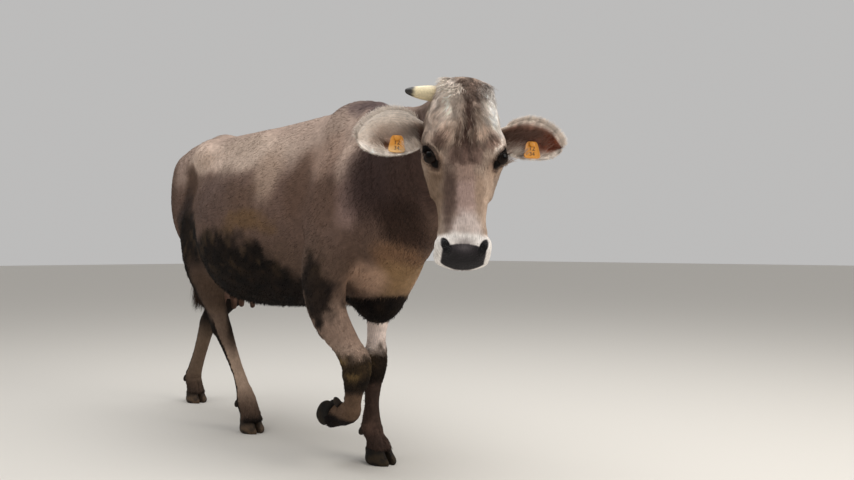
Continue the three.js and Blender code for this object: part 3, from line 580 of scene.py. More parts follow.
    def _grow_side(self, side: Side) -> None:
        """Shoulder, loin, hip and thigh of one side."""
        def at(x: float, y: float, z: float) -> Triple:
            return (x, side.value * y, z)
        grow = self.flesh.grow
        grow(rod(at(-70, 62, 1335), at(180, 140, 1010), 66, 84, at(0.4, 1, 0.3), 0.6), 90)
        grow(Egg(at(10, 160, 1010), (160, 58, 180)), 90)
        grow(Egg(at(200, 112, 980), (66, 66, 92)), 80)
        grow(rod(at(-560, 140, 1308), at(-900, 186, 1308), 24, 34), 100)
        grow(Egg(at(-940, 224, 1288), (58, 38, 38)), 55)
        grow(rod(at(-945, 198, 1300), at(-1060, 80, 1352), 30, 36), 90)
        grow(Egg(at(-1120, 110, 1238), (230, 110, 120)), 90)
        grow(Egg(at(-1434, 84, 1256), (44, 38, 40)), 55)
        grow(rod(at(-1000, 194, 1262), at(-1420, 96, 1256), 44, 36), 90)
        grow(Egg(at(-1300, 124, 1068), (144, 104, 242), ((1, 0, 0.25), (0, 1, 0), (-0.25, 0, 1))), 80)
        self.flesh.hollow(Egg(at(-800, 362, 1205), (130, 80, 100)), 80)

    def _grow_trunk(self) -> None:
        """Barrel, both sides, tail head, withers and brisket."""
        self.flesh.grow(Sections(np.zeros(3), np.eye(3), self.TRUNK), 1)
        for side in Side:
            self._grow_side(side)
        self.flesh.grow(rod((-1240, 0, 1366), (-1405, 0, 1376), 32, 30), 60)
        self.flesh.grow(rod((60, 0, 1360), (-150, 0, 1380), 34, 32), 80)
        self.flesh.grow(Egg((44, 0, 650), (102, 68, 90)), 70)

    def _grow_head(self) -> None:
        """Skull, brows, cheeks, poll and muzzle."""
        h, grow = self.head, self.flesh.grow
        self.skull = Sections(h.origin, h.axes, self.HEAD)
        grow(self.skull, 40)
        for side in Side:
            s = side.value
            grow(Egg(h.at(182, s * 104, -46), (50, 27, 34), h.axes), 24)
            grow(rod(h.at(225, s * 102, -84), h.at(320, s * 82, -92), 24, 14), 30)
            grow(Egg(h.at(190, s * 66, -165), (75, 36, 62), h.axes), 40)
            grow(Egg(h.at(6, s * 62, -44), (32, 30, 26), h.axes), 26)
            grow(Egg(h.at(490, s * 57, -48), (34, 27, 28), h.axes), 18)
        grow(Egg(h.at(508, 0, -118), (36, 50, 20), h.axes), 20)

    def _grow_limbs(self) -> None:
        """Legs, hocks, udder with its teats, and tail."""
        grow = self.flesh.grow
        for name, k in (("fore_left", 45), ("fore_right", 45), ("hind_right", 70), ("hind_left", 70)):
            grow(self.limbs[name], k)
        for name, point in self.HOCKS.items():
            hock = np.array(point, float)
            calf = np.array(getattr(self, name)[3][:3], float) + (-60, 0, 30)
            grow(rod(hock, hock + (28, 0, -80), 22, 26), 24)
            grow(rod(hock, calf, 19, 26), 26)
        grow(Egg((-1130, 0, 722), (200, 100, 125)), 60)
        for x in (-1020, -1130):
            for side in Side:
                y = side.value
                grow(Limb([[x, y * 48, 640, 24, 24], [x, y * 50, 598, 19, 19], [x, y * 50, 572, 16, 16]],
                          per=2), 14)
        grow(self.limbs["tail"], 30)
        for foot in self.feet:
            self.flesh.hollow(Below(foot.at, foot.axes, 46 * foot.scale), 18)

    def add_face(self) -> None:
        """Adds what only the fine mesh of the head can show: lids, nostrils and lips."""
        h, grow, hollow = self.head, self.flesh.grow, self.flesh.hollow
        for side in Side:
            s, eye = side.value, self.eyes[side]
            axes = (eye.long, eye.short, eye.sight)
            grow(Egg(eye.centre - eye.sight * 1.0, (31, 27.5, 29.0), axes), 12)
            hollow(eye.slot, 3)
            wing = (h.nose * 0.8 + h.face * 0.35, h.left * s + h.nose * 0.35, h.face - 0.4 * h.nose)
            grow(Egg(h.at(493, s * 55, -36), (27, 20, 18), wing), 12)
            hollow(Egg(h.at(500, s * 52, -26), (14, 6.2, 18), wing), 6)
            hollow(Egg(h.at(490, s * 61, -28), (9, 4.5, 13), wing), 5)
        mouth = [h.at(*p) for p in ((416, -80, -122), (460, -86, -116), (505, -84, -108), (536, -58, -102),
                                    (549, 0, -99), (536, 58, -102), (505, 84, -108), (460, 86, -116),
                                    (416, 80, -122))]
        hollow(Limb([[*p, 5.0, 5.0] for p in mouth], h.face, per=3), 8)

    def away(self, points: Array) -> Array:
        """Places moved from the working frame to the model's own, in metres."""
        return (points + self.shift) / 1000.0


# ------------------------------------------------------------------ regions of the body
class Region(Enum):
    """Region of the coat, with its rectangle on the unwrap as left, bottom, right and top."""

    TRUNK = (0.01, 0.01, 0.60, 0.60)
    NECK = (0.62, 0.01, 0.99, 0.28)
    HEAD = (0.62, 0.30, 0.99, 0.60)
    FORE_LEFT = (0.01, 0.62, 0.15, 0.99)
    FORE_RIGHT = (0.17, 0.62, 0.31, 0.99)
    HIND_LEFT = (0.33, 0.62, 0.47, 0.99)
    HIND_RIGHT = (0.49, 0.62, 0.60, 0.99)
    EAR_LEFT = (0.62, 0.62, 0.79, 0.79)
    EAR_RIGHT = (0.81, 0.62, 0.99, 0.79)
    TAIL = (0.62, 0.81, 0.79, 0.99)
    UDDER = (0.81, 0.81, 0.99, 0.99)


class Charts:
    """Names the region of a place, and lays each region out flat along its own axis."""

    LIMBS = {Region.FORE_LEFT: "fore_left", Region.FORE_RIGHT: "fore_right",
             Region.HIND_LEFT: "hind_left", Region.HIND_RIGHT: "hind_right",
             Region.NECK: "neck", Region.TAIL: "tail"}
    SPAN = {Region.TRUNK: (2100.0, -1600.0), Region.NECK: (760.0, 0.0), Region.HEAD: (680.0, -80.0),
            Region.FORE_LEFT: (1100.0, 0.0), Region.FORE_RIGHT: (1100.0, 0.0),
            Region.HIND_LEFT: (1500.0, 0.0), Region.HIND_RIGHT: (1400.0, 0.0),
            Region.EAR_LEFT: (280.0, -60.0), Region.EAR_RIGHT: (280.0, -60.0),
            Region.TAIL: (800.0, 0.0), Region.UDDER: (600.0, -1450.0)}
    GIRTH = {Region.TRUNK: 330.0, Region.NECK: 190.0, Region.HEAD: 105.0, Region.FORE_LEFT: 50.0,
             Region.FORE_RIGHT: 55.0, Region.HIND_LEFT: 60.0, Region.HIND_RIGHT: 60.0,
             Region.EAR_LEFT: 45.0, Region.EAR_RIGHT: 45.0, Region.TAIL: 20.0, Region.UDDER: 110.0}
    ORDER = list(Region)

    def __init__(self, shape: CowShape) -> None:
        """Keeps the shape, whose axes the charts follow."""
        self.shape = shape

    def region(self, points: Array) -> Array:
        """Number of the region of each place, in the order of Region."""
        x, y, z = points.T
        out = np.full(len(points), self.ORDER.index(Region.TRUNK))
        neck = (points - (205, -10, 1120)) @ unit((0.93, -0.17, 0.32)) > 0
        out[neck] = self.ORDER.index(Region.NECK)
        h = self.shape.head
        throat = unit(h.face * 0.832 + h.nose * 0.555)
        face = ((points - h.at(100, 0, -160)) @ throat > 0) & (np.linalg.norm(points - h.at(250, 0, -60), axis=1)
                                                              < 420)
        out[face] = self.ORDER.index(Region.HEAD)
        for side, name in ((Side.LEFT, Region.EAR_LEFT), (Side.RIGHT, Region.EAR_RIGHT)):
            out[self.shape.ears[side].holds(points)] = self.ORDER.index(name)
        fore = (x > -230) & (x < 340) & (z < 640)
        out[fore & (y > 22) & (z < 606)] = self.ORDER.index(Region.FORE_LEFT)
        out[fore & (y <= -70)] = self.ORDER.index(Region.FORE_RIGHT)
        hind = (z < 700) & (x < -930)
        out[hind & (y > 90) | (hind & (x < -1405) & (y > -40) & (z < 640))] = self.ORDER.index(Region.HIND_LEFT)
        out[hind & (y < -90) | ((x > -1300) & (x < -780) & (y < 30) & (z < 550))] = self.ORDER.index(
            Region.HIND_RIGHT)
        out[(z < 760) & (z > 520) & (np.abs(y) <= 90) & (x > -1400) & (x < -900)] = self.ORDER.index(Region.UDDER)
        rope = np.nonzero((x < -1440) & (z > 640))[0]
        if len(rope):
            near = self.shape.limbs["tail"].value(points[rope]) < 6
            out[rope[near]] = self.ORDER.index(Region.TAIL)
        return out

    def grain(self, points: Array, region: Array) -> Array:
        """Millimetres along each region's axis and round it, one pair a row."""
        out = np.zeros((len(points), 2))
        for number, name in enumerate(self.ORDER):
            mine = np.nonzero(region == number)[0]
            if not len(mine):
                continue
            p = points[mine]
            if name in self.LIMBS:
                along, angle = self.shape.limbs[self.LIMBS[name]].place(p)
            elif name is Region.HEAD:
                a, s, u = self.shape.head.local(p).T
                along, angle = a, np.arctan2(s, u + 90)
            elif name in (Region.EAR_LEFT, Region.EAR_RIGHT):
                ear = self.shape.ears[Side.LEFT if name is Region.EAR_LEFT else Side.RIGHT]
                t, s, w = ear.local(p)
                along, angle = t * ear.length, np.clip(s, -1.2, 1.2) * 1.2 + np.where(w > 0, 1.55, -1.55)
            else:
                along, angle = p[:, 0], np.arctan2(p[:, 1], p[:, 2] - (900 if name is Region.TRUNK else 740))
            out[mine] = np.stack([along, angle * self.GIRTH[name]], 1)
        return out

    def atlas(self, grain: Array, region: Array) -> Array:
        """Place of each point on the unwrap, from 0 to 1."""
        out = np.zeros((len(grain), 2))
        for number, name in enumerate(self.ORDER):
            mine = region == number
            if not mine.any():
                continue
            left, bottom, right, top = name.value
            span, start = self.SPAN[name]
            u = np.clip((grain[mine, 0] - start) / span, 0, 1)
            v = np.clip(grain[mine, 1] / self.GIRTH[name] / (2 * np.pi) + 0.5, 0, 1)
            out[mine] = np.stack([left + u * (right - left), bottom + v * (top - bottom)], 1)
        return out


# ------------------------------------------------------------------ meshes from arrays
@dataclass
class Surface:
    """Closed mesh of triangles: places in millimetres of the working frame, and corner numbers."""

    points: Array
    faces: Array

    def normals(self) -> Array:
        """Outward direction at each place, as the sum of its faces' area vectors."""
        a, b, c = (self.points[self.faces[:, i]] for i in range(3))
        area = np.cross(b - a, c - a)
        total = np.stack([np.bincount(self.faces.ravel(), np.repeat(area[:, i], 3), len(self.points))
                          for i in range(3)], 1)
        return units(total)

    def edges(self) -> tuple[Array, Array]:
        """Unique edges as pairs, and for each face the numbers of its edges ab, bc and ca."""
        pairs = np.sort(np.stack([self.faces[:, [0, 1]], self.faces[:, [1, 2]], self.faces[:, [2, 0]]],
                                 1).reshape(-1, 2), axis=1)
        key = pairs[:, 0] * len(self.points) + pairs[:, 1]
        found, index = np.unique(key, return_inverse=True)
        return np.stack([found // len(self.points), found % len(self.points)], 1), index.reshape(-1, 3)

    def even_out(self, normals: Array, share: float, weight: Array | None = None) -> None:
        """Moves each place towards the mean of its neighbours, along the surface only.

        Args:
            normals: Directions in which nothing moves; zeros let it move freely.
            share: Part of the way moved.
            weight: Further share of each place.
        """
        pairs, _ = self.edges()
        ends = np.concatenate([pairs[:, 0], pairs[:, 1]])
        others = np.concatenate([pairs[:, 1], pairs[:, 0]])
        count = np.bincount(ends, minlength=len(self.points))
        mean = np.stack([np.bincount(ends, self.points[others, i], len(self.points))
                         for i in range(3)], 1) / np.maximum(count, 1)[:, None]
        step = (mean - self.points) * share
        step -= normals * np.einsum("ij,ij->i", step, normals)[:, None]
        self.points = self.points + (step if weight is None else step * weight[:, None])

    def refine(self, marked: Array) -> None:
        """Splits the edges of marked faces in half, with two or three faces where few are split."""
        pairs, index = self.edges()
        split = np.zeros(len(pairs), bool)
        split[index[marked].ravel()] = True
        middle = np.full(len(pairs), -1)
        middle[split] = len(self.points) + np.arange(split.sum())
        self.points = np.vstack([self.points, self.points[pairs[split]].mean(1)])
        mids, faces = middle[index], self.faces
        count = (mids >= 0).sum(1)
        made = [faces[count == 0]]
        f, m = faces[count == 3], mids[count == 3]
        made += [np.stack(t, 1) for t in ((f[:, 0], m[:, 0], m[:, 2]), (m[:, 0], f[:, 1], m[:, 1]),
                                          (m[:, 2], m[:, 1], f[:, 2]), (m[:, 0], m[:, 1], m[:, 2]))]
        for turn in range(3):
            order = [turn, (turn + 1) % 3, (turn + 2) % 3]
            one = (count == 1) & (mids[:, turn] >= 0)
            f, m = faces[one][:, order], mids[one][:, turn]
            made += [np.stack([f[:, 0], m, f[:, 2]], 1), np.stack([m, f[:, 1], f[:, 2]], 1)]
            two = (count == 2) & (mids[:, turn] < 0)
            f, m = faces[two][:, order], mids[two][:, order]
            made += [np.stack([f[:, 0], f[:, 1], m[:, 1]], 1), np.stack([f[:, 0], m[:, 1], m[:, 2]], 1),
                     np.stack([m[:, 2], m[:, 1], f[:, 2]], 1)]
        self.faces = np.concatenate(made)


def net(value: Array, low: Array, cell: float) -> Surface:
    """Surface net: one place in each cell that the surface crosses, at the mean of its crossings.

    Args:
        value: Field at the corners of a grid.
        low: Place of the first corner.
        cell: Grid pitch.

    Returns:
        The closed surface between negative and positive corners, facing the positive ones.
    """
    inside = value < 0
    size = np.array(value.shape)
    corners = [(i, j, k) for i in (0, 1) for j in (0, 1) for k in (0, 1)]
    count = sum(inside[tuple(slice(c, n - 1 + c) for c, n in zip(corner, size))].astype(int)
                for corner in corners)
    active = (count > 0) & (count < 8)
    owner = np.full(active.shape, -1)
    owner[active] = np.arange(active.sum())
    cells = np.argwhere(active)
    total, crossings = np.zeros((len(cells), 3)), np.zeros(len(cells))
    for corner in corners:
        for axis in range(3):
            if corner[axis]:
                continue
            end = list(corner)
            end[axis] = 1
            a = value[tuple((cells + corner).T)]
            b = value[tuple((cells + end).T)]
            crossed = (a < 0) != (b < 0)
            t = np.where(crossed, a / np.where(crossed, a - b, 1), 0)
            place = np.array(corner, float) + t[:, None] * (np.array(end) - corner)
            total += np.where(crossed[:, None], place, 0)
            crossings += crossed
    points = low + cell * (cells + total / crossings[:, None])
    quads = []
    for axis in range(3):
        others = [(axis + 1) % 3, (axis + 2) % 3]
        first, second = [slice(None)] * 3, [slice(None)] * 3
        first[axis], second[axis] = slice(0, -1), slice(1, None)
        crossed = np.argwhere(inside[tuple(first)] != inside[tuple(second)])
        ring = []
        for step in ((1, 1), (0, 1), (0, 0), (1, 0)):
            at = crossed.copy()
            at[:, others] -= step
            ring.append(owner[tuple(at.T)])
        quad = np.stack(ring, 1)
        outward = inside[tuple(crossed.T)]
        quads.append(np.where(outward[:, None], quad, quad[:, ::-1]))
    quad = np.concatenate(quads)
    a, b, c, d = (points[quad[:, i]] for i in range(4))
    shorter = np.linalg.norm(a - c, axis=1) <= np.linalg.norm(b - d, axis=1)
    one = np.where(shorter[:, None], quad[:, [0, 1, 2]], quad[:, [0, 1, 3]])
    two = np.where(shorter[:, None], quad[:, [0, 2, 3]], quad[:, [1, 2, 3]])
    return Surface(points, np.concatenate([one, two]))


def tube(rings: Array) -> Surface:
    """Closed surface through rings of equal length, with a fan at either end, facing out."""
    rows, sides = rings.shape[:2]
    points = np.vstack([rings.reshape(-1, 3), rings[0].mean(0), rings[-1].mean(0)])
    i, j = (v.ravel() for v in np.meshgrid(np.arange(rows - 1), np.arange(sides), indexing="ij"))
    a, b = i * sides + j, i * sides + (j + 1) % sides
    walls = np.concatenate([np.stack([a, b, b + sides], 1), np.stack([a, b + sides, a + sides], 1)])
    k = np.arange(sides)
    last = (rows - 1) * sides
    caps = np.concatenate([
        np.stack([np.full(sides, len(points) - 2), (k + 1) % sides, k], 1),
        np.stack([np.full(sides, len(points) - 1), last + k, last + (k + 1) % sides], 1)])
    made = Surface(points, np.concatenate([walls, caps]))
    p = made.points - made.points.mean(0)
    a, b, c = (p[made.faces[:, i]] for i in range(3))
    if np.einsum("ij,ij->i", a, np.cross(b, c)).sum() < 0:
        made.faces = made.faces[:, ::-1]
    return made


def joined(surfaces: Sequence[Surface]) -> Surface:
    """Several surfaces as one mesh of separate shells."""
    start = np.cumsum([0] + [len(s.points) for s in surfaces[:-1]])
    return Surface(np.vstack([s.points for s in surfaces]),
                   np.concatenate([s.faces + n for s, n in zip(surfaces, start)]))


def mesh_object(name: str, points: Array, faces: Array) -> bpy.types.Object:
    """Object at the origin with a smooth-shaded mesh of triangles, places in metres."""
    mesh = bpy.data.meshes.new(name)
    mesh.vertices.add(len(points))
    mesh.vertices.foreach_set("co", np.ascontiguousarray(points, np.float32).ravel())
    mesh.loops.add(faces.size)
    mesh.loops.foreach_set("vertex_index", np.ascontiguousarray(faces, np.int32).ravel())
    mesh.polygons.add(len(faces))
    mesh.polygons.foreach_set("loop_start", np.arange(0, faces.size, 3, dtype=np.int32))
    mesh.update(calc_edges=True)
    mesh.polygons.foreach_set("use_smooth", np.ones(len(faces), bool))
    made = bpy.data.objects.new(name, mesh)
    bpy.context.scene.collection.objects.link(made)
    return made


def put_colour(mesh: bpy.types.Mesh, name: str, values: Array) -> None:
    """Stores three or four numbers for each place as a colour attribute."""
    if values.shape[1] == 3:
        values = np.hstack([values, np.ones((len(values), 1))])
    layer = mesh.color_attributes.new(name, "FLOAT_COLOR", "POINT")
    layer.data.foreach_set("color", np.ascontiguousarray(values, np.float32).ravel())


def put_map(mesh: bpy.types.Mesh, name: str, values: Array) -> None:
    """Stores a UV map, one pair for each face corner."""
    layer = mesh.uv_layers.new(name=name)
    layer.data.foreach_set("uv", np.ascontiguousarray(values, np.float32).ravel())


def united(objects: Sequence[bpy.types.Object]) -> tuple[Array, Array]:
    """Union of closed meshes, as places and triangles. The objects are removed."""
    base = objects[0]
    for other in objects[1:]:
        cut = base.modifiers.new(other.name, "BOOLEAN")
        cut.operation, cut.solver, cut.object = "UNION", "MANIFOLD", other
    graph = bpy.context.evaluated_depsgraph_get()
    mesh = bpy.data.meshes.new_from_object(base.evaluated_get(graph))
    mesh.calc_loop_triangles()
    points = np.empty(len(mesh.vertices) * 3, np.float32)
    mesh.vertices.foreach_get("co", points)
    faces = np.empty(len(mesh.loop_triangles) * 3, np.int32)
    mesh.loop_triangles.foreach_get("vertices", faces)
    bpy.data.meshes.remove(mesh)
    for made in objects:
        data = made.data
        bpy.data.objects.remove(made)
        bpy.data.meshes.remove(data)
    return points.reshape(-1, 3).astype(float), faces.reshape(-1, 3).astype(np.int64)


# ------------------------------------------------------------------ skin
@dataclass
class Skin:
    """One skin over the whole cow, inside the flesh nodes by the coat's depth."""

    shape: CowShape
    cell: float = 15.0
    coat: float = 4.0
    face_edge: float = 6.6
    leg_edge: float = 13.5
    fine_edge: float = 3.5

    def grid(self) -> Surface:
        """First coarse skin from a grid over the whole body."""
        low, high = np.array([-1860.0, -520.0, -10.0]), np.array([980.0, 440.0, 1470.0])
        count = np.ceil((high - low) / self.cell).astype(int) + 1
        axes = [low[i] + self.cell * np.arange(count[i]) for i in range(3)]
        corners = np.stack(np.meshgrid(*axes, indexing="ij"), -1).reshape(-1, 3)
        value = np.concatenate([self.shape.flesh.value(part) for part in np.array_split(corners, 12)])
        return net((value + self.coat).reshape(count), low, self.cell)

    def slope(self, points: Array, step: float = 0.8) -> tuple[Array, Array]:
        """Field and its slope by forward differences."""
        value = self.shape.flesh.value
        here = value(points)
        steps = np.eye(3) * step
        return here + self.coat, np.stack([(value(points + s) - here) / step for s in steps], 1)

    def settle(self, surface: Surface, which: Array, rounds: int, reach: float) -> None:
        """Newton's steps of chosen places onto the skin: p - g (v / g.g), none longer than reach."""
        for _ in range(rounds):
            value, g = self.slope(surface.points[which])
            step = -value / np.maximum(np.einsum("ij,ij->i", g, g), 0.25)
            surface.points[which] += g * np.clip(step, -reach, reach)[:, None]

    def target(self, centres: Array) -> Array:
        """Longest edge allowed at each place: fine on the face, finest at eyes and nostrils."""
        h = self.shape.head
        out = np.full(len(centres), 99.0)
        out[centres[:, 2] < 520] = self.leg_edge
        a, s, u = h.local(centres).T
        face = (a > -70) & (a < 580) & (np.abs(s) < 150) & (u > -150 - 0.0 * a) & (u < 60)
        out[face] = self.face_edge
        jaw = (a > -70) & (a < 580) & (np.abs(s) < 150) & (u <= -150) & (u > -260)
        out[jaw] = self.leg_edge
        for eye in self.shape.eyes.values():
            out[np.linalg.norm(centres - eye.centre, axis=1) < 46] = self.fine_edge
        teats = (centres[:, 2] < 690) & (np.abs(centres[:, 1]) < 90) & (np.abs(centres[:, 0] + 1075) < 110)
        out[teats] = self.face_edge
        for s in (-1, 1):
            out[np.linalg.norm(centres - h.at(496, s * 54, -30), axis=1) < 36] = self.fine_edge
        out[(a > 468) & (a < 570) & (np.abs(s) < 110) & (u > -135)] = self.fine_edge
        return out

    def coarse_to_fine(self) -> Surface:
        """Skin from the grid, evened out and split where the target asks for shorter edges."""
        made = self.grid()
        everywhere = np.arange(len(made.points))
        self.settle(made, everywhere, 1, 6)
        for _ in range(2):
            made.even_out(made.normals(), 0.5)
        self.settle(made, everywhere, 2, 6)
        for level in range(4):
            centres = made.points[made.faces].mean(1)
            corners = made.points[made.faces]
            longest = np.max(np.linalg.norm(corners - np.roll(corners, 1, axis=1), axis=2), axis=1)
            marked = longest > self.target(centres)
            if not marked.any():
                break
            made.refine(marked)
            if level == 1:
                self.shape.add_face()
            fresh = np.nonzero(self.target(made.points) < 90)[0]
            self.settle(made, fresh, 2 if level < 1 else 4, 4.0 / (level + 1) + 1.0)
            made.even_out(made.normals(), 0.35, (self.target(made.points) < 90).astype(float))
        self.settle(made, np.nonzero(self.target(made.points) < 90)[0], 4, 1.6)
        a, s, u = self.shape.head.local(made.points).T
        holes = np.exp(-((a - 496) / 26) ** 4 - ((np.abs(s) - 56) / 20) ** 4 - ((u + 30) / 30) ** 4)
        mouth = smooth(400, 440, a) * bell(u + 108, 14) * (np.abs(s) < 110)
        for _ in range(5):
            made.even_out(np.zeros_like(made.points), 0.5, np.clip(holes + mouth, 0, 1))
        return made

    def relief(self, surface: Surface) -> None:
        """Moves the skin along its normals: ribs, spine, veins, folds, brows, lids and wrinkles."""
        p, n = surface.points, surface.normals()
        x, y, z = p.T
        side = np.abs(n[:, 1])
        h = self.shape.head
        a, s, u = h.local(p).T
        face = smooth(-200, -120, u) * smooth(-60, -20, a) * smooth(600, 560, a) * (np.abs(s) < 150)
        body = 1 - smooth(480, 640, x)
        rib = np.cos(2 * np.pi * (x + 0.32 * (z - 1000)) / 66) * smooth(-900, -760, x) * smooth(-230, -330, x)
        rise = 0.45 * rib * smooth(1290, 1150, z) * smooth(700, 860, z) * side
        rise += 1.3 * np.cos(2 * np.pi * x / 58) * bell(y, 26) * smooth(1340, 1380, z) * smooth(120, 0, x)
        rise += 4.0 * (layered(p, 190, 3) - 0.5) * body * smooth(500, 700, z)
        vein = 640 + 22 * np.sin(x / 60) + 14 * np.sin(x / 23)
        rise += (4.5 * bell(z - vein - 14, 11) * smooth(-980, -900, x) * smooth(-240, -330, x)
                 * smooth(90, 150, np.abs(y)))
        fold = np.sin((x * 0.9 + z * 0.28) / 21 + 2.2 * noise(p, 160, 8))
        on_neck = smooth(190, 290, x) * smooth(640, 520, x) * smooth(1300, 1150, z)
        rise += 1.5 * fold * on_neck * side
        elbow = bell(x - 40, 60) * bell(z - 745, 90) * smooth(100, 180, np.abs(y))
        rise += 1.5 * np.sin((z - 0.6 * x) / 11) * elbow
        crease = -8 * bell(x + 118 + 0.12 * (z - 800), 16) * smooth(640, 760, z) * smooth(980, 900, z) * side
        rise += crease * smooth(-40, -200, y)
        mud_and_shade = Markings(self.shape).mud_and_shade(p)
        rise += 3.5 * mud_and_shade * (layered(p, 26, 5) - 0.42) * (1 - face)
        rise += self.leg_relief(p, n)
        rise += face * self.face_relief(p, a, s, u)
        surface.points = p + n * rise[:, None]

    def leg_relief(self, p: Array, n: Array) -> Array:
        """Tendons behind the cannon bones, wrinkles on fetlocks, and the cleft above the claws."""
        rise = np.zeros(len(p))
        for foot in self.shape.feet:
            near = np.nonzero(np.linalg.norm(p - foot.at, axis=1) < 420)[0]
            local = (p[near] - foot.at) @ foot.axes.T
            f, left, up = local.T
            towards = n[near] @ foot.axes.T
            cleft = -9 * bell(left, 7) * smooth(130, 85, up) * smooth(0.2, 0.8, np.abs(towards[:, 0]))
            ring = 3.5 * bell(up - 60, 8) * smooth(40, 50, up)
            rise[near] += cleft + ring
            if foot.pitch == 0:
                tendon = -3.2 * bell(f + 42, 9) * smooth(170, 220, up) * smooth(400, 330, up)
                rise[near] += tendon * smooth(0.3, 0.8, np.abs(towards[:, 1]))
        return rise

    def face_relief(self, p: Array, a: Array, s: Array, u: Array) -> Array:
        """Forehead groove and whorl, brow, nasal ridge, tear trough, and folds round the lids."""
        front = smooth(-60, -25, u)
        wide = np.abs(s)
        rise = -3.5 * bell(s, 9) * smooth(30, 70, a) * smooth(245, 205, a) * front
        rise += 3.0 * bell(s, 34) * smooth(10, -30, a)
        rise += 2.4 * bell(wide - 58, 22) * bell(a - 150, 50) * front
        rise += 1.6 * bell(s, 26) * smooth(240, 290, a) * smooth(470, 430, a) * front
        rise += -2.8 * bell(wide - 58 + (a - 300) * 0.12, 13) * smooth(245, 290, a) * smooth(460, 400, a) * front
        rise += 1.4 * (layered(p, 34, 12) - 0.5) * 2
        rise += 1.2 * np.sin(a / 7 + 3 * noise(p, 60, 4)) * bell(a - 452, 28) * smooth(40, 70, wide)
        for eye in self.shape.eyes.values():
            near = np.nonzero(np.linalg.norm(p - eye.centre, axis=1) < 80)[0]
            rel = p[near] - eye.centre
            gap = eye.slot.outline(p[near])
            above = (rel @ eye.short) > 0
            lid = 1.6 * bell(gap - 3.0, 2.6) + np.where(above, -2.6 * bell(gap - 11, 2.6) + 2.2 * bell(gap - 17, 5),
                                                         -1.6 * bell(gap - 10, 2.2) + 1.0 * bell(gap - 14, 3)
                                                         - 1.0 * bell(gap - 19, 2.4))
            rise[near] += lid * smooth(-1, 2, gap)
        return rise

    def ear_surface(self, ear: Ear) -> Surface:
        """One ear as a lens-shaped section carried from inside the head to the tip."""
        steps, sides = 56, 44
        tau = np.linspace(0, 1, steps)
        t = -0.24 + 1.24 * (1 - (1 - tau) ** 1.35)
        phi = np.linspace(0, 2 * np.pi, sides, endpoint=False)
        tt, pp = np.meshgrid(t, phi, indexing="ij")
        s, around = np.cos(pp), np.sin(pp)
        root = smooth(0.34, -0.1, tt)
        thick = ear.thick * (1 - 0.55 * np.clip(tt, 0, 1)) + 15 * root
        ridge = 1.6 * np.cos(s * 9) * np.clip(around, 0, 1) * smooth(0.1, 0.35, tt) * smooth(1.0, 0.8, tt)
        w = thick * np.sign(around) * np.abs(around) ** 0.8 + ridge
        rings = ear.surface(tt.ravel(), (s * (1 - 0.1 * root)).ravel(), w.ravel()).reshape(steps, sides, 3)
        return tube(rings)

    def whole(self) -> Surface:
        """Skin with both ears grown on, and the joints smoothed over."""
        made = self.coarse_to_fine()
        self.relief(made)
        shells = [made] + [self.ear_surface(ear) for ear in self.shape.ears.values()]
        objects = [mesh_object(f"shell_{i}", s.points / 1000, s.faces) for i, s in enumerate(shells)]
        points, faces = united(objects)
        out = Surface(points * 1000, faces)
        weight = np.zeros(len(out.points))
        for ear in self.shape.ears.values():
            rel = out.points - ear.root
            t = rel @ ear.out / ear.length
            near = np.linalg.norm(rel, axis=1) < 105
            weight = np.maximum(weight, bell(t - 0.06, 0.13) * near)
        for _ in range(10):
            out.even_out(np.zeros_like(out.points), 0.5, weight)
        return out


# ------------------------------------------------------------------ markings
def srgb(code: int) -> Array:
    """Red, green and blue from 0 to 1 of a hex colour, still in sRGB."""
    return np.array([(code >> 16) & 255, (code >> 8) & 255, code & 255]) / 255.0


def linear(colour: Array | int) -> Array:
    """Linear light of an sRGB colour: c / 12.92 when dark, else ((c + 0.055) / 1.055)^2.4."""
    c = srgb(colour) if isinstance(colour, int) else np.asarray(colour, float)
    return np.where(c <= 0.04045, c / 12.92, ((c + 0.055) / 1.055) ** 2.4)


class Where(Enum):
    """Where a patch of colour lies."""

    BOTH = "both sides of the body"
    FACE = "one place on the head"
    FACES = "both sides of the head"


@dataclass(frozen=True)
class Patch:
    """Soft-edged spot of colour, full in the middle and gone outside an ellipsoid."""

    colour: int
    centre: Triple
    radii: Triple
    strength: float = 1.0
    where: Where = Where.BOTH
    ragged: float = 0.3


B, F, FF = Where.BOTH, Where.FACE, Where.FACES


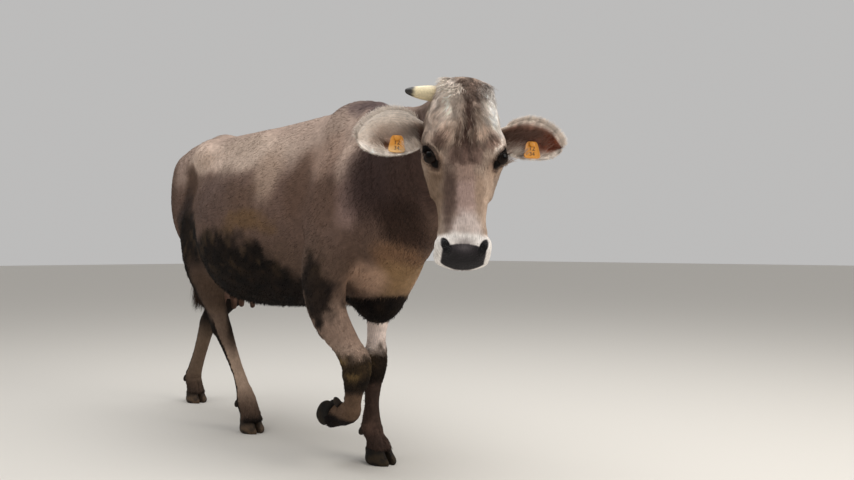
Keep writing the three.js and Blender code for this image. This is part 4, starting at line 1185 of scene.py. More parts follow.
@dataclass
class Markings:
    """Colour of skin and coat as functions of place."""

    shape: CowShape
    # Body colours from the belly up; the paler top is partly painted light from above.
    high: int = 0xA39083
    middle: int = 0x68544A
    low: int = 0x5F4D42
    patches: tuple[Patch, ...] = (
        # The two pale patches along the edge of the loin, up to the hook bones, are a painted highlight.
        Patch(0xB9A798, (-560, 230, 1265), (340, 130, 95), 0.95),
        Patch(0xE0CBBB, (-905, 250, 1262), (210, 120, 76), 0.92),
        Patch(0xA18C7C, (-380, 255, 1160), (95, 130, 150), 0.85),
        Patch(0x5E493D, (-175, 200, 1090), (80, 110, 170), 0.8),
        Patch(0x604C3F, (-530, 310, 1070), (150, 110, 80), 0.6, B, 0.8),
        Patch(0x5F4E47, (-780, 310, 1090), (220, 110, 110), 0.6, B, 0.8),
        Patch(0x6F5639, (-420, 330, 965), (170, 110, 60), 0.65, B, 0.7),
        Patch(0x998172, (-30, 180, 1200), (120, 90, 110), 0.85),
        Patch(0x5F4A3E, (20, 235, 1010), (120, 120, 110), 0.6),
        Patch(0xD6BFAE, (132, 205, 1180), (80, 100, 100), 0.92),
        Patch(0x9A827A, (165, 229, 1015), (80, 100, 105), 0.85),
        # The three dark patches on the side of the neck, inside its bend and down to the dewlap, are partly darker coat
        # and partly painted shade.
        Patch(0x3B2D2A, (320, 200, 1100), (240, 160, 190), 0.95),
        Patch(0x46352F, (560, 250, 1130), (230, 160, 190), 0.95),
        Patch(0x2A1C16, (400, 150, 930), (120, 120, 110), 0.7),
        Patch(0x4A3D3E, (150, 0, 1390), (290, 90, 60), 0.8, B, 0.7),
        Patch(0x5C4D48, (-120, 0, 1420), (210, 70, 34), 0.6),
        Patch(0x80624A, (300, 110, 800), (120, 120, 90), 0.85),
        Patch(0x937756, (240, 40, 735), (130, 120, 90), 0.9),
        Patch(0xB59680, (136, 120, 735), (90, 90, 70), 0.85),
        Patch(0xA38E82, (-1240, 210, 1245), (150, 110, 85), 0.8),
        # The two dark patches down the front edge of the thigh, in the fold against the flank, are painted shade.
        Patch(0x4A382D, (-1080, 240, 1120), (90, 90, 160), 0.75, B, 0.6),
        Patch(0x2C2320, (-1110, 240, 980), (120, 110, 130), 0.75, B, 0.6),
        Patch(0x57463C, (-1340, 170, 1130), (80, 110, 180), 0.6),
        Patch(0xE8DBD0, (60, 64, 0), (100, 44, 60), 0.95, FF, 0.4),
        # The cow's left edge of the forehead is painted paler than its right: partly its own colour, partly painted
        # light falling from its left.
        Patch(0xFFF6EE, (80, 92, -10), (130, 44, 80), 0.9, F),
        Patch(0xCDBBAE, (96, -88, -10), (66, 34, 60), 0.75, F),
        Patch(0xC8AF9E, (150, 48, 8), (36, 22, 30), 0.7, FF, 0.6),
        Patch(0x7A6257, (174, 74, 0), (30, 26, 40), 0.8, FF, 0.6),
        Patch(0x4C3932, (135, 0, 10), (120, 13, 40), 0.95, FF, 0.5),
        Patch(0x6E5850, (222, 0, 4), (44, 62, 40), 0.85, FF, 0.5),
        Patch(0x5A463D, (165, 24, 10), (50, 7, 30), 0.7, FF, 0.9),
        Patch(0x6E5A50, (20, 20, 0), (62, 24, 50), 0.7, F, 0.6),
        # The poll is painted paler on the cow's left than on its right: partly its own colour, partly painted light
        # from its left.
        Patch(0xDCCDC1, (4, -58, -20), (48, 38, 60), 0.85, F, 0.6),
        Patch(0xF0EAE6, (12, 80, -20), (70, 40, 70), 0.8, F),
        Patch(0x5E493E, (262, 80, -34), (38, 20, 40), 0.75, FF),
        Patch(0x8E766B, (292, 0, -8), (56, 40, 30), 0.85, FF),
        Patch(0xA08880, (362, 8, -8), (70, 36, 30), 0.9, FF),
        Patch(0xC6B7B1, (446, 4, -8), (54, 60, 30), 0.9, FF),
        # Down the face the cow's right side is painted darker and its left side paler: partly markings, partly painted
        # shade and light from its left.
        Patch(0x54433C, (345, -46, -20), (105, 24, 40), 0.9, F),
        Patch(0x957F6E, (340, 44, -24), (60, 14, 40), 0.6, F),
        Patch(0xBEA592, (350, 72, -50), (150, 26, 60), 0.85, F),
        Patch(0x97806F, (330, 44, -20), (60, 20, 40), 0.7, F),
        Patch(0x7C6654, (330, -86, -80), (150, 30, 90), 0.8, F),
        Patch(0x8A7360, (240, 100, -150), (110, 60, 70), 0.6, FF),
        # Dark patch under the jaw: painted shade.
        Patch(0x6B5646, (400, 40, -150), (120, 60, 60), 0.6, FF))

    def mud_line(self, x: Array, y: Array) -> Array:
        """Height below which the flank is black with mud, along the body."""
        stations = np.array([-1500, -1250, -1080, -980, -880, -700, -450, -300, -170, -120, -90, 300.0])
        height = np.array([760, 900, 1040, 1000, 910, 896, 880, 800, 715, 640, 560, 560.0])
        line = np.interp(x, stations, height)
        return np.where(y > 0, line - 70, line)

    def mud_and_shade(self, p: Array) -> Array:
        """Share of mud from 0 to 1: the belly and flank, the brisket, hocks, knees and feet, and painted shade down the
        backs of the hind legs.
        """
        x, y, z = p.T
        rough = (layered(p, 95, 21) - 0.5) * 150 + (noise(p, 22, 24) - 0.5) * 60
        foreleg = np.zeros(len(p))
        near = np.nonzero((x > -300) & (x < 300) & (z < 730) & (z > 380))[0]
        away = np.minimum(*(self.shape.limbs[name].value(p[near]) for name in ("fore_left", "fore_right")))
        foreleg[near] = smooth(16, 3, away) * smooth(710, 650, z[near])
        on_trunk = smooth(380, 560, z + 0.6 * np.abs(y)) * smooth(330, 160, x) * (1 - foreleg)
        belly = smooth(60, -44, z - self.mud_line(x, y) + rough) * on_trunk
        brisket = smooth(676, 662, z + rough * 0.12) * smooth(-70, -40, x) * smooth(235, 205, x) * (1 - foreleg)
        torn = (layered(p, 34, 27) - 0.5) * 0.9
        elbow = 0.85 * smooth(1.25, 0.7, np.linalg.norm((p - (12, -280, 692)) / (84, 130, 135), axis=1) + torn)
        legs = smooth(36, -24, z - self.leg_line(p) + rough * 0.8) * smooth(560, 480, z)
        # The front of the right gaskin is cleared of mud, so its back edge stays dark as painted shade.
        centre = np.interp(z, [600, 690, 760, 850], [-1026, -1032, -1044, -1066.0])
        gaskin = smooth(840, 740, z) * smooth(-30, 14, x - centre + torn * 40) * smooth(-90, -130, y) * (x < -900)
        belly = belly * (1 - 0.8 * gaskin)
        return np.clip(np.maximum.reduce([belly, brisket, elbow, legs]), 0, 1)

    def leg_line(self, p: Array) -> Array:
        """Height below which each leg is muddy; on the back edge of the hind legs the line is raised, and that dark is
        painted shade.
        """
        x, y, z = p.T
        line = np.full(len(p), 90.0)
        fore = x > -400
        left_fore = fore & (y > -45)
        line[left_fore] = 432
        line[fore & ~left_fore] = 440
        hind_right = (x <= -400) & (x > -1290)
        centre = np.interp(z, [30, 140, 280, 460, 600, 690], [-845, -884, -930, -1000, -1026, -1032.0])
        # Behind its middle the right hind leg is dark up to 640 mm: painted shade on its back edge.
        line[hind_right] = np.where(x < centre + 4 - 0.1 * np.maximum(200 - z, 0), 640, 74)[hind_right]
        hind_left = x <= -1290
        centre = np.interp(z, [30, 140, 290, 460, 590, 690], [-1708, -1748, -1654, -1552, -1412, -1310.0])
        # Behind its middle the left hind leg is dark up to 380 mm: painted shade on its back edge.
        line[hind_left] = np.where(x < centre - 14, 380, 66)[hind_left]
        return line

    def paint(self, p: Array) -> tuple[Array, Array]:
        """Colour in linear light, and the shares of mud with painted shade on the hind legs' backs, wet nose and bare
        skin.
        """
        x, y, z = p.T
        h = self.shape.head
        local = h.local(p)
        a, s, u = local.T
        near = np.nonzero(np.linalg.norm(p - h.at(250, 0, -90), axis=1) < 430)[0]
        on_head = np.zeros(len(p))
        neck = self.shape.limbs["neck"].value(p[near])
        front = smooth(-84, -64, u) * smooth(126, 116, np.abs(s))
        on_head[near] = np.maximum(smooth(14, -8, self.shape.skull.value(p[near]) - neck), front[near])
        on_head *= smooth(-80, -50, a)
        wobble = (layered(p, 120, 31) - 0.5) * 160
        level = z + wobble
        # Paler towards the top of the body: partly the coat's own tone, partly painted light falling from above.
        rgb = self._blend(np.tile(srgb(self.low), (len(p), 1)), self.middle, smooth(760, 980, level))
        rgb = self._blend(rgb, self.high, smooth(1090, 1270, level))
        rgb = self._blend(self._legs(rgb, p), 0x9E8B7D, on_head)
        mirrored = {Where.BOTH: np.stack([x, np.abs(y), z], 1), Where.FACE: local,
                    Where.FACES: np.stack([a, np.abs(s), u], 1)}
        for i, patch in enumerate(self.patches):
            facial = patch.where in (Where.FACE, Where.FACES)
            rel = (mirrored[patch.where] - patch.centre) / patch.radii
            radius = np.linalg.norm(rel, axis=1)
            near = radius < 1.7
            if not near.any():
                continue
            size = min(patch.radii) * 0.9
            edge = (layered(p[near], max(size, 8), 40 + i) - 0.5) * 2 * patch.ragged
            share = np.zeros(len(p))
            share[near] = patch.strength * smooth(1.3, 0.45, radius[near] + edge)
            share *= on_head if facial else 1 - on_head
            rgb = self._blend(rgb, patch.colour, share)
        warm = (1 - on_head)[:, None]
        rgb = rgb * (1 - warm * (0.0, 0.012, 0.012))
        rgb = self._ears(rgb, p)
        rgb, nose = self._muzzle(rgb, p, a, s, u, on_head)
        rgb = self._lids(rgb, p)
        # Share of mud, which also carries the painted shade on the backs of the hind legs.
        mud_and_shade = self.mud_and_shade(p) * (1 - on_head)
        ochre = smooth(0.42, 0.68, layered(p, 42, 77))
        fore = smooth(-300, -200, x) * smooth(600, 560, z)
        dark = self._blend(np.tile(srgb(0x0F0C0C), (len(p), 1)), 0x261D17, noise(p, 30, 79))
        dark = self._blend(dark, 0x4B3C2C, smooth(0.3, 0.9, ochre) * 0.55 * (1 - fore) * smooth(700, 800, z))
        left_leg = y > -40
        front = smooth(-30, 20, x - np.interp(z, [340, 500], [90, 60])) * ~left_leg
        dark = self._blend(dark, 0x8A7048, fore * bell(z - 418, 46) * (0.25 + 0.75 * ochre) * np.maximum(front, 0.55))
        dark = self._blend(dark, 0x5C483F, fore * smooth(345, 300, z) * left_leg * (0.55 + 0.45 * ochre))
        dark = self._blend(dark, 0x6A5444, fore * smooth(345, 300, z) * ~left_leg
                           * smooth(196, 224, z + 0.15 * x) * 0.9)
        dark = self._blend(dark, 0x40322C, fore * smooth(150, 90, z) * left_leg * 0.8)
        rgb = rgb * (1 - mud_and_shade[:, None]) + dark * mud_and_shade[:, None]
        udder = bell((z - 640) / 110, 1) * smooth(-1400, -1330, x) * smooth(-880, -950, x) * smooth(95, 80, np.abs(y))
        udder = udder * smooth(720, 680, z)
        rgb = self._blend(rgb, 0x8E6E60, udder * 0.9)
        lock = layered(p, 14, 91) * 0.6 + noise(p, 5, 95) * 0.4
        # Wavy light and dark streaks down the forehead: painted light and shade of the hair clumps.
        clump_light_and_shade = layered(local * (0.3, 1, 0.4) + 5 * np.sin(a / 13)[:, None], 11, 97) - 0.5
        clump_light_and_shade *= on_head * smooth(250, 190, a) * 0.9
        rgb = rgb * (0.86 + 0.28 * lock + clump_light_and_shade)[:, None]
        return linear(np.clip(rgb, 0, 1)), np.stack([mud_and_shade, nose, np.clip(udder, 0, 1)], 1)

    @staticmethod
    def _blend(rgb: Array, colour: int, share: Array) -> Array:
        """Colours moved towards one colour by a share each."""
        return rgb + (srgb(colour) - rgb) * np.asarray(share)[:, None]

    def _legs(self, rgb: Array, p: Array) -> Array:
        """Pale legs, the left fore one palest, with dark backs to the hind ones."""
        x, y, z = p.T
        below = smooth(700, 590, z)
        rgb = self._blend(rgb, 0x847061, below * (x < 400))
        rgb = self._blend(rgb, 0xE8D9D0, smooth(640, 560, z) * smooth(-60, -30, y) * (x > -400) * 0.95)
        rgb = self._blend(rgb, 0x8B7668, below * smooth(-60, -90, y) * (x > -400))
        rgb = self._blend(rgb, 0xA99484, bell(z - 468, 40) * smooth(-60, -90, y) * (x > -400) * 0.8)
        rgb = self._blend(rgb, 0xBBA38F, smooth(430, 330, z) * smooth(150, 230, z) * (x < -400) * (x > -1290))
        rgb = self._blend(rgb, 0x5F4D40, smooth(780, 700, z) * smooth(520, 600, z) * (x < -900) * 0.9)
        rgb = self._blend(rgb, 0x6E5D4E, below * (x < -1290) * 0.9)
        return self._blend(rgb, 0x4C3D33, smooth(170, 90, z) * (x < -400) * 0.85)

    def _ears(self, rgb: Array, p: Array) -> Array:
        """Cream rims, a russet hollow, and brown backs."""
        for side, ear in self.shape.ears.items():
            mine = np.nonzero(ear.holds(p))[0]
            if not len(mine):
                continue
            t, s, w = ear.local(p[mine])
            right = side is Side.RIGHT
            ragged = (layered(p[mine], 16, 61) - 0.5) * 0.5
            inner = smooth(-1.0, 1.5, w)
            part = self._blend(rgb[mine], 0x7C675A, smooth(0.0, 0.2, t))
            part = self._blend(part, 0xEBDCCF if right else 0x8A685B, inner * smooth(0.02, 0.2, t))
            hollow = bell((s + 0.22) / 0.36 + ragged, 1.0) * smooth(0.1, 0.3, t) * smooth(0.84, 0.6, t + ragged * 0.3)
            part = self._blend(part, 0x7A4C36 if right else 0x5E3F36, hollow * inner * (0.25 if right else 1.0))
            if right:
                russet = bell((t - 0.58) / 0.15, 1) * bell((s + 0.5 + ragged * 0.3) / 0.26, 1)
                part = self._blend(part, 0x64402C, np.clip(1.25 * russet * inner, 0, 1))
            if not right:
                near_tip = bell((t - 0.84) / 0.17, 1) * inner
                part = self._blend(part, 0x74402F, near_tip * smooth(1.0, 0.6, np.abs(s + 0.1)))
            canal = bell((t - 0.08) / 0.16, 1) * inner * smooth(0.8, 0.3, np.abs(s))
            part = self._blend(part, 0x4A342B, canal * 0.7)
            upper = smooth(-0.35, -0.72, s + ragged * 0.5) * smooth(0.1, 0.25, t)
            if right:
                upper = upper * (1 - 0.7 * russet)
            part = self._blend(part, 0xFFF2E6 if right else 0xCDBBAE, upper * (0.95 if right else 0.75))
            rim = smooth(0.6, 0.88, np.abs(s) + 0.35 * smooth(0.8, 1.0, t) + ragged * 0.3)
            part = self._blend(part, 0xEFE4DA, rim * 0.85)
            rgb[mine] = part
        return rgb

    def _muzzle(self, rgb: Array, p: Array, a: Array, s: Array, u: Array, on_head: Array) -> tuple[Array, Array]:
        """White ring round the muzzle and the black wet nose pad with a painted sheen on top, with dark nostrils and
        lips.
        """
        edge = (layered(p, 14, 51) - 0.5) * 14
        ring = smooth(448, 472, a - 0.0010 * s**2 - 0.16 * (u + 30) * (u < -30) + edge) * on_head
        rgb = self._blend(rgb, 0xEDE7E2, ring)
        rgb = self._blend(rgb, 0xB9A694, on_head * smooth(-122, -140, u) * smooth(430, 470, a) * 0.5)
        top = 491 + 0.0030 * s**2 + edge * 0.25
        side = smooth(66, 60, np.abs(s) + edge * 0.2)
        low = smooth(-89, -82, u + edge * 0.1 - 0.0036 * s**2)
        pad = smooth(-2, 3, a - top) * side * low * on_head
        holes = np.zeros(len(p))
        for sign in (-1, 1):
            lean = s - sign * (55 - 0.3 * (a - 496))
            rel = np.stack([a - 497, lean, u + 30], 1) / (21, 12, 26)
            holes = np.maximum(holes, smooth(1.2, 0.85, np.linalg.norm(rel, axis=1)))
        wet = np.clip(np.maximum(pad, holes * on_head), 0, 1)
        shade = bell(s / 26, 1) * smooth(462, 490, a) * on_head
        rgb = self._blend(rgb, 0x857B7B, shade * 0.6)
        rgb = self._blend(rgb, 0x1B181B, wet)
        # Painted sheen on the top middle of the wet nose pad.
        rgb = self._blend(rgb, 0x5E585B, pad * bell(s / 30, 1) * bell((a - 500) / 14, 1) * 0.9)
        rgb = self._blend(rgb, 0x0A090B, holes * on_head * 0.9)
        lips = bell(u + 103, 5.0) * smooth(410, 450, a) * on_head
        return self._blend(rgb, 0x3A302C, lips * 0.85), wet

    def _lids(self, rgb: Array, p: Array) -> Array:
        """Dark bare rims of the lids, drawn out at the corners, with brown hair round them."""
        for eye in self.shape.eyes.values():
            near = np.nonzero(np.linalg.norm(p - eye.centre, axis=1) < 70)[0]
            if not len(near):
                continue
            gap = eye.slot.outline(p[near])
            rel = p[near] - eye.centre
            gap = gap - 5 * smooth(16, 28, np.abs(rel @ eye.long))
            part = self._blend(rgb[near], 0xA58C78, 0.6 * bell(gap - 17, 5) * ((rel @ eye.short) < 4))
            part = self._blend(part, 0x46362F, 0.7 * smooth(15, 7, gap))
            part = self._blend(part, 0x120E0D, smooth(5.4, 2.8, gap))
            rgb[near] = part
        return rgb


# ------------------------------------------------------------------ lie of the coat
@dataclass
class Lie:
    """Direction in which the hair lies at each place."""

    shape: CowShape
    charts: Charts

    def flow(self, p: Array, n: Array, region: Array) -> Array:
        """Unit directions along the skin: back and down the body, down the legs, out along the ears."""
        x, _, z = p.T
        side = np.abs(n[:, 1])
        thigh = smooth(-980, -1120, x)
        shoulder = smooth(-60, 80, x)
        out = np.stack([-0.95 + 0.45 * thigh + 0.45 * shoulder, np.zeros(len(p)),
                        -(0.5 + 0.5 * thigh + 0.5 * shoulder) * side], 1)
        order = self.charts.ORDER
        for number, name in enumerate(order):
            mine = np.nonzero(region == number)[0]
            if not len(mine):
                continue
            if name is Region.NECK:
                back = -unit(np.subtract(CowShape.NECK[-1][:3], CowShape.NECK[1][:3]))
                out[mine] = back * 0.7 - UP * 0.6
            elif name is Region.HEAD:
                out[mine] = self._face(p[mine])
            elif name in (Region.EAR_LEFT, Region.EAR_RIGHT):
                ear = self.shape.ears[Side.LEFT if name is Region.EAR_LEFT else Side.RIGHT]
                _, s, _ = ear.local(p[mine])
                out[mine] = ear.out + ear.down * (0.75 * np.clip(s, -1, 1) + 0.15)[:, None]
            elif name in Charts.LIMBS and name is not Region.NECK:
                out[mine] = -UP
        bent = (region == order.index(Region.FORE_RIGHT)) & (z < 300)
        out[bent] = (-0.85, 0.0, -0.2)
        out -= n * np.einsum("ij,ij->i", out, n)[:, None]
        return units(out)

    def _face(self, p: Array) -> Array:
        """On the head: down the face and out from its middle line, back over the cheeks."""
        h = self.shape.head
        a, s, u = h.local(p).T
        fan = np.clip(s / 60, -1, 1) * (0.35 + 0.3 * smooth(240, 120, a))
        down = h.nose + h.left * fan[:, None]
        cheek = smooth(-50, -120, u)[:, None]
        return down * (1 - cheek) + (h.nose * 0.25 - h.face * 0.9) * cheek


# ------------------------------------------------------------------ locks of hair
@dataclass
class Roots:
    """Where locks grow: place, outward direction, lie and region of each."""

    points: Array
    normals: Array
    flow: Array
    region: Array

    def pick(self, which: Array) -> "Roots":
        """The chosen roots."""
        return Roots(self.points[which], self.normals[which], self.flow[which], self.region[which])


@dataclass
class Cut:
    """How the locks of one piece are cut and lie, in millimetres and degrees."""

    length: float
    width: float
    rings: int = 2
    spread: float = 0.25
    lift: float = 6.0
    jitter: float = 0.18
    droop: float = 0.0
    curl: float = 0.0
    turns: float = 1.5
    flat: float = 0.38
    tint: float = 0.06
    tip_light: float = 0.06


@dataclass
class Locks:
    """Solid three-sided locks, carried along bent paths, all in one mesh."""

    roots: Roots
    cut: Cut
    seed: int

    def shells(self, length_share: Array | None = None) -> tuple[Array, Array, Array, Array]:
        """Places, faces, the share along its lock of each place, and its corner on the lock's patch.

        The path starts along the lie, lifted by an angle that sinks again with t^2, sags by
        droop t^2 and winds sideways by curl t sin(2 pi turns t + phase). The half width is
        w (1 - t^1.6) (0.7 + 1.2 t (1 - t)), with a ridge on the outer side.
        """
        c, rng, r = self.cut, np.random.default_rng(self.seed), self.roots
        count, rings = len(r.points), c.rings
        length = c.length * (1 + c.spread * rng.uniform(-1, 1, count))
        if length_share is not None:
            length = length * length_share
        across = np.cross(r.normals, r.flow)
        lean = rng.normal(0, c.jitter, count)[:, None]
        way = units(r.flow + across * lean)
        across = units(np.cross(r.normals, way))
        lift = np.radians(c.lift * rng.uniform(0.4, 1.6, count))
        phase = rng.uniform(0, 2 * np.pi, count)
        hand = rng.choice([-1.0, 1.0], count)
        t = np.arange(rings + 1) / rings
        tt = t[None, :]
        run = length[:, None] * tt
        rise = run * np.sin(lift)[:, None] * (1 - 0.55 * tt) - 1.0 * (1 - tt)
        wave = c.curl * np.minimum(tt * 2.5, 1)
        turn = 2 * np.pi * c.turns * tt * hand[:, None] + phase[:, None]
        sway = wave * (np.sin(turn) - np.sin(phase)[:, None])
        rise = rise + wave * 0.6 * (1 + np.cos(turn)) * np.minimum(tt * 3, 1)
        centre = (r.points[:, None] + way[:, None] * (run * np.cos(lift)[:, None])[..., None]
                  + r.normals[:, None] * rise[..., None] + across[:, None] * sway[..., None])
        centre[..., 2] -= c.droop * length[:, None] * tt**2
        if c.droop:
            centre -= way[:, None] * (c.droop * 0.55 * length[:, None] * tt**2)[..., None]
        thin = 1.0 if length_share is None else np.sqrt(np.minimum(length_share, 1))
        half = (c.width / 2 * (1 + 0.3 * rng.uniform(-1, 1, count)) * thin)[:, None] * (
            (1 - tt[:, :-1] ** 1.6) * (0.7 + 1.2 * tt[:, :-1] * (1 - tt[:, :-1])))
        ahead = np.gradient(centre, axis=1)
        ahead /= np.maximum(np.linalg.norm(ahead, axis=2, keepdims=True), 1e-9)
        wide = np.cross(r.normals[:, None], ahead)
        wide /= np.maximum(np.linalg.norm(wide, axis=2, keepdims=True), 1e-6)
        high = np.cross(ahead, wide)
        body, wide, high = centre[:, :-1], wide[:, :-1] * half[..., None], high[:, :-1] * (half * c.flat)[..., None]
        corners = np.stack([body + wide - high * 0.6, body - wide - high * 0.6, body + high * 1.4], 2)
        each = rings * 3 + 1
        points = np.concatenate([corners.reshape(count, -1, 3), centre[:, -1:]], 1)
        k = np.arange(rings - 1)[:, None] * 3
        j = np.arange(3)[None, :]
        a, b = (k + j).ravel(), (k + (j + 1) % 3).ravel()
        last = (rings - 1) * 3
        faces = np.concatenate([
            np.stack([a, b, b + 3], 1), np.stack([a, b + 3, a + 3], 1),
            [[last, last + 1, each - 1], [last + 1, last + 2, each - 1], [last + 2, last, each - 1]],
            [[0, 2, 1]]])
        sharing = np.concatenate([np.repeat(t[:-1], 3), [1.0]])
        corner = np.stack([np.concatenate([np.tile([-0.5, 0.5, 0.0], rings), [0.0]]), sharing - 0.5], 1)
        whole = (faces[None] + (np.arange(count) * each)[:, None, None]).reshape(-1, 3)
        return points.reshape(-1, 3), whole, np.tile(sharing, count), np.tile(corner, (count, 1))


@dataclass
class Coat:
    """Makes the pieces of the coat from roots scattered over the skin."""

    shape: CowShape
    charts: Charts
    marks: Markings
    lie: Lie
    skin: Surface
    normals: Array
    patch: float = 0.003

    def scatter(self, count: int, seed: int, want: Callable[[Array, Array], Array]) -> Roots:
        """Roots spread evenly over the skin where wanted.

        Args:
            count: How many locks.
            seed: Start of the random draws.
            want: Gives the wanted density from the middle of each face and its region.

        Returns:
            The roots, in the order of the skin's faces.
        """
        rng = np.random.default_rng(seed)
        corners = self.skin.points[self.skin.faces]
        area = np.linalg.norm(np.cross(corners[:, 1] - corners[:, 0], corners[:, 2] - corners[:, 0]), axis=1) / 2
        weight = area * np.maximum(want(corners.mean(1), self.face_region), 0)
        total = np.cumsum(weight)
        draws = (np.arange(count) + rng.uniform(0, 1, count)) / count * total[-1]
        face = np.minimum(np.searchsorted(total, draws), len(total) - 1)
        u, v = rng.uniform(0, 1, (2, count))
        flip = u + v > 1
        u, v = np.where(flip, 1 - u, u), np.where(flip, 1 - v, v)
        share = np.stack([1 - u - v, u, v], 1)[..., None]
        points = (corners[face] * share).sum(1)
        normals = units((self.normals[self.skin.faces[face]] * share).sum(1))
        region = self.face_region[face]
        return Roots(points, normals, self.lie.flow(points, normals, region), region)

    def prepare(self) -> None:
        """Names the region of every face once."""
        self.face_region = self.charts.region(self.skin.points[self.skin.faces].mean(1))

    def piece(self, name: str, roots: Roots, cut: Cut, seed: int, material: bpy.types.Material,
              length_share: Array | None = None, dye: tuple[int, float] | None = None) -> bpy.types.Object:
        """One piece of the coat as a single mesh, with its colours and its OFBake map.

        Args:
            name: Name of the piece.
            roots: Where the locks grow.
            cut: How they are cut.
            seed: Start of the random draws.
            material: Finish of the piece.
            length_share: Share of the length of each lock.
            dye: Colour laid over the markings, with its share.

        Returns:
            The object, riding on the body.
        """
        points, faces, along, corner = Locks(roots, cut, seed).shells(length_share)
        made = mesh_object(name, self.shape.away(points), faces)
        colour, care = self.marks.paint(roots.points)
        if dye:
            colour = colour + (linear(dye[0]) - colour) * dye[1]
        rng = np.random.default_rng(seed + 1)
        colour = colour * (1 + cut.tint * rng.normal(0, 1, (len(colour), 1)))
        each = len(points) // len(roots.points)
        colour = np.repeat(np.clip(colour, 0, 1), each, axis=0) * (1 + cut.tip_light * (along * 2 - 0.8))[:, None]
        put_colour(made.data, "coat", np.clip(colour, 0, 1))
        put_colour(made.data, "care", np.repeat(care, each, axis=0))
        place = self.charts.atlas(self.charts.grain(roots.points, roots.region), roots.region)
        spread = np.repeat(place, each, axis=0) + corner * self.patch
        put_map(made.data, "OFBake", np.clip(spread, 0, 1)[faces.ravel()])
        made.data.materials.append(material)
        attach(made, "root")
        LOG.info("%s: %d locks, %d triangles", name, len(roots.points), len(faces))
        return made


# ------------------------------------------------------------------ materials
def add(tree: bpy.types.NodeTree, kind: str, settings: dict | None = None, **inputs: object) -> bpy.types.Node:
    """Adds a node with its settings, and sets or links its inputs.

    Args:
        tree: Node tree of the material.
        kind: Node type.
        settings: Properties of the node by name.
        inputs: Values, or output sockets to link, by the input's name with spaces as underscores,
            or by its number after a leading i.

    Returns:
        The node.
    """
    node = tree.nodes.new(kind)
    for key, value in (settings or {}).items():
        setattr(node, key, value)
    for key, value in inputs.items():
        socket = node.inputs[int(key[1:])] if key[1:].isdigit() else node.inputs[key.replace("_", " ")]
        if isinstance(value, bpy.types.NodeSocket):
            tree.links.new(value, socket)
        else:
            socket.default_value = value
    return node


def colour4(code: int) -> tuple[float, float, float, float]:
    """Hex colour as a linear four-part colour for a socket."""
    return (*linear(code), 1.0)


class Finish:
    """Base of the finishes: an empty material with its output."""

    name = "finish"

    def tree(self) -> tuple[bpy.types.Material, bpy.types.NodeTree]:
        """New material and its empty node tree."""
        made = bpy.data.materials.new(self.name)
        made.use_nodes = True
        made.node_tree.nodes.clear()
        return made, made.node_tree

    @staticmethod
    def close(tree: bpy.types.NodeTree, shader: bpy.types.Node) -> None:
        """Links the shader to the output."""
        add(tree, "ShaderNodeOutputMaterial", Surface=shader.outputs[0])


